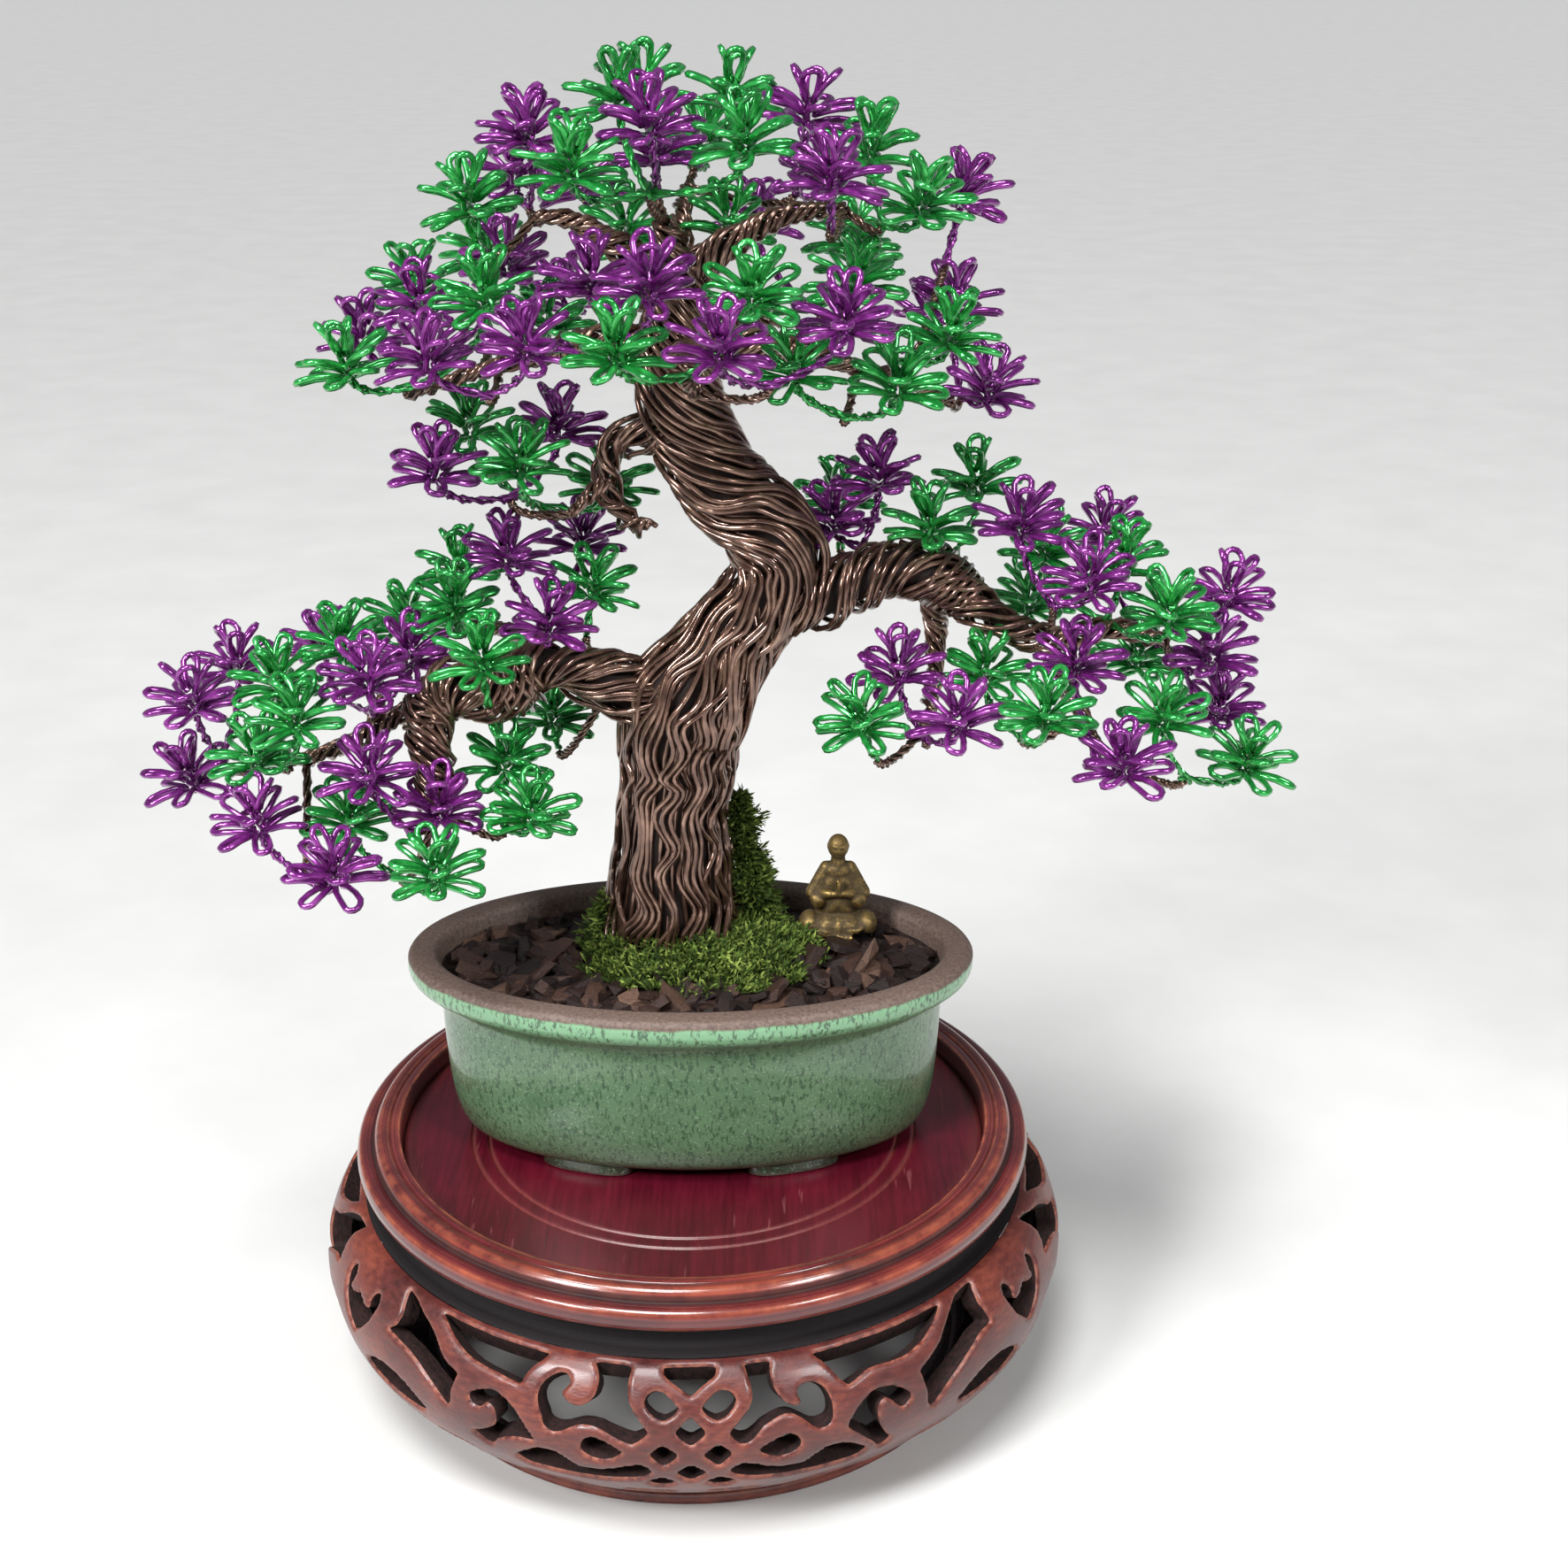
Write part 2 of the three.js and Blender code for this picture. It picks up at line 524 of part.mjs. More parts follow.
// Adds one bloom to a mesh: a cupped star of petals in two tiers. Its underside is closed in the middle, or
// joined to the corners of a stem where they are given. Its reach draws in single petals
function addFlower(mesh, bloom, { corners = null, grow = 0 } = {}) {
  const { point, angleOf } = bloomFrame(bloom);
  const step = (2 * Math.PI) / PETALS;
  const outline = [];
  for (let petal = 0; petal < PETALS; petal += 1) {
    const middle = step * petal + bloom.spin;
    const raise = THREE.MathUtils.degToRad(petal % 2 ? LOW_TIER : HIGH_TIER);
    const length = BLOOM_RADIUS * bloom.reach[petal] + grow;
    const tip = [length * Math.cos(raise), length * Math.sin(raise)];
    outline.push([middle - step / 2, VALLEY_RADIUS + grow, 0.4]);
    outline.push([middle - 0.31 * step, ...tip], [middle + 0.31 * step, ...tip]);
  }
  const { points, triangles } = mesh;
  const count = outline.length;
  const drop = PETAL_THICKNESS + grow;
  const above = points.length;
  const below = above + count;
  points.push(...outline.map(([angle, radius, height]) => point(angle, radius, height + grow)));
  points.push(...outline.map(([angle, radius, height]) => point(angle, radius, height - drop)));
  const top = points.push(point(0, 0, grow)) - 1;
  for (let k = 0; k < count; k += 1) {
    const next = (k + 1) % count;
    triangles.push([top, above + k, above + next]);
    triangles.push([above + k, below + k, below + next], [above + k, below + next, above + next]);
  }
  if (!corners) {
    const middle = points.push(point(0, 0, -drop)) - 1;
    for (let k = 0; k < count; k += 1) triangles.push([middle, below + ((k + 1) % count), below + k]);
    return;
  }
  const turnTo = (from, to) => THREE.MathUtils.euclideanModulo(to - from, 2 * Math.PI);
  const turnOf = (corner) => turnTo(bloom.spin, angleOf(points[corner]));
  const ring = [...corners].sort((a, b) => turnOf(a) - turnOf(b));
  const nearest = (angle) => {
    const gaps = ring.map((corner) => {
      const gap = turnTo(angle, angleOf(points[corner]));
      return Math.min(gap, 2 * Math.PI - gap);
    });
    return gaps.indexOf(Math.min(...gaps));
  };
  const owner = outline.map(([angle], k) => {
    const following = k + 1 < count ? outline[k + 1][0] : outline[0][0] + 2 * Math.PI;
    return nearest((angle + following) / 2);
  });
  for (let k = 0; k < count; k += 1) {
    const next = (k + 1) % count;
    let corner = owner[k];
    triangles.push([below + k, ring[corner], below + next]);
    while (corner !== owner[next]) {
      const following = (corner + 1) % ring.length;
      triangles.push([below + next, ring[corner], ring[following]]);
      corner = following;
    }
  }
}

const undersideOf = (bloom) => bloom.place.clone().addScaledVector(bloom.axis, -PETAL_THICKNESS);

// Three offsets round a line, a stem's radius away from it
function stemOffsets(run) {
  const side = new THREE.Vector3(0, 0, 1).cross(run);
  if (side.length() < 0.1) side.set(1, 0, 0);
  const first = side.addScaledVector(run, -side.dot(run)).setLength(STEM_RADIUS);
  return [0, 1, 2].map((corner) => first.clone().applyAxisAngle(run, (2 * Math.PI * corner) / 3));
}

// Offsets carried round a chain of directions by the shortest turns, then set as corners round a centre
function carriedCorners(mesh, centre, offsets, directions) {
  return offsets.map((offset) => {
    const turned = offset.clone();
    for (let k = 1; k < directions.length; k += 1) {
      turned.applyQuaternion(new THREE.Quaternion().setFromUnitVectors(directions[k - 1], directions[k]));
    }
    return mesh.points.push(turned.add(centre)) - 1;
  });
}

function addStem(mesh, from, to) {
  for (let corner = 0; corner < 3; corner += 1) {
    const next = (corner + 1) % 3;
    mesh.triangles.push([from[corner], from[next], to[corner]], [from[next], to[next], to[corner]]);
  }
}

// One bloom on its stem
function singleFlower(bloom, hub) {
  const mesh = { points: [], triangles: [] };
  const run = undersideOf(bloom).sub(hub).normalize();
  const offsets = stemOffsets(run);
  const foot = carriedCorners(mesh, hub.clone().addScaledVector(run, -0.5), offsets, [run]);
  mesh.triangles.push([foot[0], foot[2], foot[1]]);
  const head = carriedCorners(mesh, undersideOf(bloom), offsets, [run, bloom.axis]);
  addStem(mesh, foot, head);
  addFlower(mesh, bloom, { corners: head });
  return solid(mesh.points, mesh.triangles);
}

// Two blooms on one stem that is folded at the hub
function flowerPair(one, other, hub) {
  const mesh = { points: [], triangles: [] };
  const run = undersideOf(one).sub(hub).normalize();
  const comingIn = hub.clone().sub(undersideOf(other)).normalize();
  const across = run.clone().add(comingIn).normalize();
  const offsets = stemOffsets(across);
  const fold = carriedCorners(mesh, hub, offsets, [across]);
  const head = carriedCorners(mesh, undersideOf(one), offsets, [across, run, one.axis]);
  const inward = other.axis.clone().negate();
  const tail = carriedCorners(mesh, undersideOf(other), offsets, [across, comingIn, inward]);
  addStem(mesh, fold, head);
  addStem(mesh, tail, fold);
  addFlower(mesh, one, { corners: head });
  addFlower(mesh, other, { corners: tail });
  return solid(mesh.points, mesh.triangles);
}

function plate(bloom, grow = 0) {
  const mesh = { points: [], triangles: [] };
  addFlower(mesh, bloom, { grow });
  return solid(mesh.points, mesh.triangles);
}

function nearestOnLimbs(target, cluster) {
  let best = null;
  for (const [name, path] of Object.entries(LIMBS)) {
    if (!name.startsWith(cluster)) continue;
    for (const [centre] of stationsAlong(path, 3 * (path.length - 1)).slice(2)) {
      const distance = centre.distanceTo(target);
      if (!best || distance < best.distance) best = { centre, distance };
    }
  }
  return best;
}

// The frame of each spray: its twig from the nearest limb, the hub where stems part, and its blooms
function plannedSprays(blooms) {
  return SPRAYS.map(([name, colour], spray) => {
    const own = blooms.filter((bloom) => bloom.spray === spray);
    const summed = (part) => own.reduce((sum, bloom) => sum.add(bloom[part]), new THREE.Vector3());
    const middle = summed('place').divideScalar(own.length);
    const axis = summed('axis').normalize();
    const root = nearestOnLimbs(middle.clone().addScaledVector(axis, -10), name.split('_')[0]);
    const hub = mix(middle.clone().addScaledVector(axis, -8), root.centre, 0.12);
    const facing = middle.clone().sub(hub).normalize();
    const end = hub.clone().addScaledVector(facing, -1.3);
    const bend = end.clone().addScaledVector(facing, -Math.min(4, 0.35 * end.distanceTo(root.centre)));
    return { name: `${name}_${colour}`, colour, own, hub, facing, end, bend, root: root.centre };
  });
}

function twig(spray, grow = 0) {
  const curve = new THREE.QuadraticBezierCurve3(spray.root, spray.bend, spray.end);
  const steps = spray.root.distanceTo(spray.end) > 12 ? 2 : 1;
  const stations = [];
  for (let i = 0; i <= steps; i += 1) {
    stations.push([curve.getPoint(i / steps), TWIG_RADIUS + 0.5 * (1 - i / steps)]);
  }
  stations[steps][0].addScaledVector(spray.facing, grow);
  return tube(stations, 3, { grow: 2 * grow });
}

// The stems alone, a little stouter than they are, as what other blooms have to clear
function stoutStems(spray) {
  return joined(spray.own.map((bloom) => tube([
    [spray.hub, STEM_RADIUS], [bloom.place.clone().addScaledVector(bloom.axis, -1), STEM_RADIUS],
  ], 3, { grow: GAP })));
}

const meets = (a, b) => {
  const shared = a.intersect(b);
  return shared.isEmpty() ? null : shared.boundingBox();
};

// Bends the petals that would cross another spray clear of it, by drawing them in
function shortenPetals(blooms, sprays, wood) {
  const drawIn = (bloom, shared) => {
    const spot = vec([0, 1, 2].map((k) => (shared.min[k] + shared.max[k]) / 2));
    const turns = (bloomFrame(bloom).angleOf(spot) - bloom.spin) / (2 * Math.PI);
    const petal = THREE.MathUtils.euclideanModulo(Math.round(turns * PETALS), PETALS);
    bloom.reach[petal] = Math.max(0.42, bloom.reach[petal] * 0.88);
  };
  const obstacles = sprays.map(stoutStems);
  for (let round = 0; round < 12; round += 1) {
    for (let i = 0; i < blooms.length; i += 1) {
      const stout = plate(blooms[i], GAP);
      const others = obstacles.filter((_, spray) => spray !== blooms[i].spray);
      for (const shared of [wood, ...others].map((body) => meets(stout, body))) {
        if (shared) drawIn(blooms[i], shared);
      }
      for (let j = i + 1; j < blooms.length; j += 1) {
        const near = blooms[i].place.distanceTo(blooms[j].place) < 2 * BLOOM_RADIUS + 2;
        if (!near || blooms[i].spray === blooms[j].spray) continue;
        const shared = meets(stout, plate(blooms[j]));
        if (shared) {
          drawIn(blooms[i], shared);
          drawIn(blooms[j], shared);
        }
      }
    }
  }
}

function wireTree(sprays, grow = 0) {
  const trunk = tube(stationsAlong(TRUNK, 20), 14, { ribs: 0.06, turn: 2.6, grow });
  const limbs = Object.values(LIMBS).map((path) => {
    const stout = path[0][3] > 5.5;
    const ribs = stout ? 0.08 : 0;
    return tube(stationsAlong(path, path.length - 1), stout ? 6 : 5, { ribs, turn: 2, grow });
  });
  return joined([trunk, ...limbs, ...sprays.map((spray) => twig(spray, grow))]);
}

// Assembly

const model = new THREE.Group();

function place(name, body, colour) {
  const [tint, roughness, metalness] = COLOURS[colour];
  const material = new THREE.MeshStandardMaterial({ color: tint, roughness, metalness });
  const mesh = new THREE.Mesh(geometryOf(body), material);
  mesh.name = name;
  model.add(mesh);
}

const blooms = spacedBlooms();
const sprays = plannedSprays(blooms);
const tree = wireTree(sprays);
const stoutTree = wireTree(sprays, GAP).add(tree);
shortenPetals(blooms, sprays, stoutTree);

place('stand_base_ring', standBase(), 'lacquer');
place('stand_apron', standApron(), 'lacquer');
place('stand_rim', standRim(), 'lacquer');
place('stand_top_panel', standPanel(), 'crimson');
place('pot', pot(), 'glaze');
place('bark_bed', barkBed([stoutTree]), 'bark');
place('moss', moss([stoutTree]), 'moss');
place('seated_figure', figure(), 'brass');
place('wire_tree', tree, 'copper');

for (const spray of sprays) {
  const [first, second, ...rest] = spray.own;
  const start = second ? flowerPair(first, second, spray.hub) : singleFlower(first, spray.hub);
  const flowers = joined([start, ...rest.map((bloom) => singleFlower(bloom, spray.hub))]);
  const crosses = flowers.intersect(tree).volume() > 0;
  place(spray.name, largestPiece(crosses ? flowers.subtract(stoutTree) : flowers), spray.colour);
}

const box = new THREE.Box3().setFromObject(model);
model.position.set(-(box.min.x + box.max.x) / 2, -(box.min.y + box.max.y) / 2, -box.min.z);

export default model;
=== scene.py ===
"""Azalea bonsai bent from enamelled wire, in a glazed oval pot on a round carved stand.

Sizes are in millimetres round the stand's axis, with the table at height 0. They turn into metres when a
piece is made. The tree's paths and the places of its blooms are those of its solids, except that the coil
hanging from the left limb is longer and stouter here.
"""
import math
import random

import bmesh
import bpy
import numpy as np
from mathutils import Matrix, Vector, noise


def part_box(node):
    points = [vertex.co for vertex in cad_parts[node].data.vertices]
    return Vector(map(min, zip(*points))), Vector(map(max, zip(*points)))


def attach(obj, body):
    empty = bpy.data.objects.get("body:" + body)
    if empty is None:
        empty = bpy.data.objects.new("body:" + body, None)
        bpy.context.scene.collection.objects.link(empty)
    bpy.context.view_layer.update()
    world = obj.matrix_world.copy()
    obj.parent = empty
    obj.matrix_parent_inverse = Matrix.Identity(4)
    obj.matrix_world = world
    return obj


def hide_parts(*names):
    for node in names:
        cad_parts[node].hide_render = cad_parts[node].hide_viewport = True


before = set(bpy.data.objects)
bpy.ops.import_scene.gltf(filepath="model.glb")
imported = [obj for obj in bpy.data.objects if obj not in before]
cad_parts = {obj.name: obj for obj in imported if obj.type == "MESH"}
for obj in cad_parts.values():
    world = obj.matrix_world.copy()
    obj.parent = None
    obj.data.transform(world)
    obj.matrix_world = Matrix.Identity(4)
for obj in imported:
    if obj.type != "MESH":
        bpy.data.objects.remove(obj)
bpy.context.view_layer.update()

ring_low, ring_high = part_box("stand_base_ring")
STAND_AXIS = np.array([(ring_low.x + ring_high.x) / 2, (ring_low.y + ring_high.y) / 2, 0.0])
MM = 0.001

# Enamel colours of the wire from dark to light, and how far its metal shows
ENAMELS = {
    "copper": ((62, 40, 33), (112, 82, 69), (166, 132, 114), 0.66),
    "green": ((12, 92, 38), (34, 158, 66), (84, 206, 112), 0.55),
    "purple": ((78, 18, 84), (130, 38, 134), (184, 86, 186), 0.55),
}

# Wire
WIRE_RADIUS = 0.56
WIRE_SIDES = 6
THIN_WIRE_SIDES = 5
STEM_WIRE_RADIUS = 0.5
BLOOM_WIRE_RADIUS = 0.63

# Lengths along a bundle: waves of its strands, dives of its wires, roughness of each, splay at the roots
SWAY_LENGTHS = (11, 15)
DIVE_LENGTH = 4
FRAY_LENGTH = 9
SPLAY_LENGTH = 5

# Bundles stouter than this have a core behind their wires, painted dark as shade
CORE_FROM = 2.4

# Blooms, and the tiers of their loops: how many, how far raised, height of the tier, reach as a share
BLOOM_RADIUS = 10.0
BLOOM_SPACING = 17.2
TIERS = [(6, 3, -1.7, 0.95), (5, 24, -0.2, 0.97), (4, 60, 0.9, 0.88)]
LOOP_ROOT = 2.1
LOOP_TIP = 1.5

# Pot, and the heights between which its glaze changes
POT_HALF_WIDTH = 34.4
POT_STRETCH = 23.8
BED_TOP = 88.0
BARE_UP_TO = (49.0, 49.8)
# Below these heights the glaze is darkened as painted shade, under the pot's body and on its feet
SHADED_UP_TO = (50.9, 52.6)
PALE_FROM = (82, 87)
BARE_FROM = (89.2, 89.9)

# Stand
STAND_TURN = 1.5
PANEL_TOP = 48.8
PANEL_RADIUS = 61.2
APRON_THICKNESS = 4.6

# The middle of each bundle of wire, as [x, y, z, radius]
TRUNK = [
    (-4, 6, 85, 16.4), (-4, 6, 89, 15.6), (-4, 6, 93, 14.5), (-3.8, 5, 98, 13.4), (-3.7, 4, 105, 12.4),
    (-3.5, 3, 114, 11.4), (-2.8, 2, 122, 10.6), (-1.8, 2, 131, 11.6), (-1.5, 1, 138, 12),
    (0.8, 0.5, 145, 12.4), (4.5, 0, 151, 10.6), (9, 0, 157.5, 9), (14.5, 0, 164, 8.4), (18, 0, 170, 9),
    (18.2, 0, 175, 9.2), (14.5, 0, 181, 8.6), (8.5, 0, 186.5, 8.6), (4.6, 0, 192.5, 8.2),
    (2, 0, 199, 8.1), (0, -1, 206, 7.8), (-0.5, -1, 214, 7.2), (0, -1, 222, 6), (1, -1, 229, 4.4),
]
LIMBS = {
    "left": [
        (-2, 1, 140, 7.4), (-9, 0, 145.5, 7), (-17, -1, 149.5, 5.6), (-23, -3, 153, 4.8), (-29, -6, 153.6, 5),
        (-33, -8, 150, 6), (-38, -8, 148.5, 5.2), (-44, -10, 150.5, 5.8), (-48.5, -13, 147, 5),
        (-48, -16.5, 141, 4.4), (-47.2, -17.5, 135, 3.8), (-47, -18, 129, 3.4),
    ],
    "leftEnd": [
        (-46, -11, 148, 3), (-55, -11, 145, 2.2), (-64, -12, 140, 2), (-73, -11, 136.5, 1.7),
        (-81, -9, 135, 1.4),
    ],
    "leftHigh": [(-27, -4, 153, 3.4), (-30, 1, 156, 2.4), (-38, 8, 157, 1.7), (-43, 12, 157, 1.5)],
    "leftInner": [(-19, -1, 150, 3), (-19.5, 3, 154, 2)],
    "right": [
        (16, 0, 163, 6), (25, 0, 165, 6), (33, 0, 169, 5.7), (41, 0, 171.5, 5.7), (48, -1, 170.5, 6),
        (54, -2, 166.5, 4.6), (60, -4, 162.5, 3.3), (67, -6, 159.5, 2.9), (75, -6, 160, 2.8),
        (83, -6, 161, 2.2), (92, -6, 159, 1.6),
    ],
    "rightFork": [(48, -1, 166, 3), (49, 2, 158, 2.4), (48, -4, 149, 2), (46, -14, 143.5, 1.6)],
    "rightDroop": [(69, -6, 159, 2.6), (74, -14, 150, 2), (78, -22, 143, 1.6)],
    "rightHigh": [(43, 0, 172, 3), (42, 3, 175, 2)],
    "small": [
        (-1, 0, 197, 4.6), (-8, 1, 197, 3.4), (-12.5, 3, 194.5, 3), (-14.5, 4, 189, 2.7), (-13, 3, 183, 2.4),
        (-9, 0, 179.5, 2), (-6, -3, 181, 1.4),
    ],
    "smallTwig": [(-14, 4, 188, 2.2), (-18, 2, 185, 1.8), (-21, -1, 182.5, 1.4)],
    "crownTop": [(0, -1, 220, 5), (-1, -3, 230, 3.6), (-2, -4, 237, 2.4)],
    "crownRightHigh": [(1, -1, 226, 4), (10, -3, 233, 3), (20, -4, 238, 2.2), (30, -6, 239, 1.6)],
    "crownLeftHigh": [(-1, -1, 226, 4), (-10, -3, 232, 3), (-19, -4, 237, 2), (-25, -6, 238, 1.5)],
    "crownLeft": [
        (-2, -1, 214, 4), (-14, -2, 215, 3), (-28, -2, 212, 2.2), (-42, -2, 208, 1.6), (-51, -2, 205, 1.3),
    ],
    "crownRight": [
        (2, -1, 214, 4), (14, -3, 215, 3), (28, -4, 212, 2.4), (42, -4, 208, 1.6), (50, -3, 204, 1.3),
    ],
    "crownFront": [(0, -2, 212, 4), (2, -12, 214, 3), (4, -24, 214, 2), (4, -34, 212, 1.5)],
    "crownBack": [(0, 0, 214, 4), (1, 12, 216, 3), (2, 26, 217, 2), (4, 38, 214, 1.5)],
    "crownBackHigh": [(0, 0, 224, 3.5), (0, 8, 234, 2.4), (1, 20, 240, 1.6)],
}

# Where a limb's wires run inside the trunk before they leave it
LIMB_ROOTS = {
    "left": [(2, -1, 128, 6.5)],
    "right": [(3, -3, 138, 7), (8, -3, 150, 7)],
    "small": [(6, -1, 188, 3)],
}

# How a bundle's wires wind, as [share of its length, degrees from its own direction]
TRUNK_LAY = [(0, 0), (0.42, -2), (0.56, -14), (0.68, -42), (1, -48)]
TRUNK_GAP = [(0, 4.2), (0.12, 3.1), (0.42, 2.6), (0.58, 1.5), (1, 1.2)]
LIMB_LAYS = {
    "left": [(0, -16), (0.25, -34), (0.5, -46), (1, -56)],
    "right": [(0, -14), (0.2, -30), (0.3, -60), (0.5, -56), (0.62, -40), (1, -50)],
    "small": [(0, -30), (1, -52)],
}
THIN_LAY = [(0, -48), (1, -54)]

# The strands of limbs whose first radius is more than this, and of thinner ones
STOUT_FROM = 4.5
STOUT_STRANDS = {"relief": 0.7, "gap": [(0, 1.4)], "size": 4}
THIN_STRANDS = {"relief": 0.35, "gap": [(0, 0.8)], "size": 3}

# Lengths of limb with more wire wound over them: limb, from and to as shares of its length, turns
WRAPS = [
    ("right", 0.40, 0.52, 6), ("left", 0.44, 0.53, 5), ("left", 0.70, 0.80, 6), ("crownRight", 0.3, 0.42, 5),
    ("crownLeft", 0.3, 0.42, 5),
]

# The middle of each cluster of blooms, from which they lean outwards, and how far they all lean forward
CLUSTERS = {"crown": (0, 0, 0.24), "small": (-26, 4, 0.12), "left": (-58, -6, 0.0), "right": (70, -6, 0.08)}

# Sprays: a name that starts with its cluster, a colour, and the middle of each bloom
SPRAYS = [
    ("crown_top_front", "green", (-9, -8, 257), (-16, -28, 248), (11, -26, 252)),
    ("crown_top_back", "green", (-4, 18, 257), (9, 14, 256), (4, 38, 246)),
    ("crown_right_high", "green", (34, -5, 249), (43, -18, 241)),
    ("crown_left_high", "green", (-36, -8, 240)),
    ("crown_inner", "green", (-10, 10, 233), (9, 9, 234)),
    ("crown_right_inner", "green", (32, 18, 230)),
    ("crown_top_left", "purple", (-26, -2, 251), (-31, 18, 242)),
    ("crown_top_middle", "purple", (-1, -22, 254), (-4, 6, 247)),
    ("crown_top_right", "purple", (22, 6, 254), (26, 34, 240)),
    ("crown_front_high", "purple", (26, -30, 247)),
    ("crown_right_high", "purple", (52, 10, 239)),
    ("crown_left_back", "purple", (-32, 8, 227), (-47, -2, 221), (-59, 10, 214)),
    ("crown_left_front", "purple", (-43, -22, 215), (-25, -30, 219)),
    ("crown_left_low", "green", (-33, -18, 225), (-60, -8, 211)),
    ("crown_left_back", "green", (-40, 32, 226), (-51, 14, 221), (-26, 14, 215)),
    ("crown_front", "green", (-8, -44, 221), (14, -36, 228)),
    ("crown_front_left", "purple", (-3, -36, 229), (-14, -20, 228)),
    ("crown_front_right", "purple", (9, -48, 222), (29, -34, 224)),
    ("crown_right_middle", "green", (32, -8, 226), (48, -18, 218)),
    ("crown_right_low", "green", (21, -16, 212), (39, -28, 212)),
    ("crown_right_low", "purple", (57, 0, 205), (51, 10, 219)),
    ("crown_back", "green", (-4, 54, 218), (34, 42, 222)),
    ("crown_back_left", "purple", (-20, 36, 238), (-26, 50, 214)),
    ("crown_back_right", "purple", (14, 48, 230), (48, 30, 212)),
    ("small_branch", "green", (-41, 8, 196), (-29, -12, 194), (-15, 14, 184)),
    ("small_branch", "purple", (-24, 8, 196), (-45, -6, 192)),
    ("left_upper", "purple", (-36, 2, 171), (-21, 18, 170), (-25, -10, 163)),
    ("left_upper", "green", (-46, 20, 165), (-44, -2, 164)),
    ("left_inner", "green", (-19, 6, 166)),
    ("left_front", "green", (-36, -22, 160)),
    ("left_back", "green", (-28, 16, 135)),
    ("left_middle", "purple", (-55, -4, 156), (-58, -18, 155), (-72, 14, 150)),
    ("left_middle", "green", (-59, 16, 154), (-69, 4, 152)),
    ("left_end", "purple", (-90, 8, 148), (-93, -8, 147), (-98, -4, 129)),
    ("left_end", "green", (-75, -4, 151), (-71, -22, 149), (-81, -18, 138)),
    ("left_low_inner", "purple", (-58, -26, 139), (-46, -24, 130)),
    ("left_low_outer", "purple", (-79, -24, 129), (-64, -36, 123)),
    ("left_low_outer", "green", (-65, -20, 127), (-45, -36, 124)),
    ("left_low_inner", "green", (-29, -22, 129), (-35, -8, 134)),
    ("right_inner", "green", (57, 14, 184), (45, -4, 182)),
    ("right_inner", "purple", (39, 2, 186), (29, 10, 178)),
    ("right_back", "green", (30, 24, 178)),
    ("right_middle", "purple", (63, -10, 182), (78, -18, 173)),
    ("right_middle", "green", (72, 6, 173), (82, -4, 173), (88, -20, 169)),
    ("right_end", "purple", (82, 16, 173), (105, 2, 164), (101, -8, 157), (105, -4, 142)),
    ("right_end", "green", (89, 6, 151), (69, 20, 158)),
    ("right_low_inner", "purple", (41, -14, 154), (51, -30, 151)),
    ("right_low_inner", "green", (34, -26, 150)),
    ("right_low_front", "green", (57, -10, 153), (66, -36, 154)),
    ("right_low_middle", "green", (89, -26, 150), (107, -14, 138)),
    ("right_low_middle", "purple", (73, -22, 159), (80, -40, 146)),
]


# Colour and materials

def paint(red, green, blue):
    """A colour given as it looks on a screen, 0 to 255, as the shader needs it."""
    def linear(part):
        share = part / 255
        return share / 12.92 if share <= 0.04045 else ((share + 0.055) / 1.055) ** 2.4
    return (linear(red), linear(green), linear(blue), 1.0)


class Amount:
    """A socket of a material that Python sums can use."""

    def __init__(self, finish, socket):
        self.finish = finish
        self.socket = socket

    def sum_with(self, operation, *values):
        return self.finish.node("ShaderNodeMath", {"operation": operation}, dict(enumerate(values)))

    def __add__(self, other):
        return self.sum_with("ADD", self, other)

    def __radd__(self, other):
        return self.sum_with("ADD", other, self)

    def __sub__(self, other):
        return self.sum_with("SUBTRACT", self, other)

    def __rsub__(self, other):
        return self.sum_with("SUBTRACT", other, self)

    def __mul__(self, other):
        return self.sum_with("MULTIPLY", self, other)

    def __rmul__(self, other):
        return self.sum_with("MULTIPLY", other, self)

    def clipped(self):
        return self.finish.node("ShaderNodeClamp", {}, {0: self})

    def step(self, low, high):
        """0 below low, 1 above high, and smooth between them."""
        settings = {"interpolation_type": "SMOOTHSTEP"}
        return self.finish.node("ShaderNodeMapRange", settings, {0: self, 1: low, 2: high})


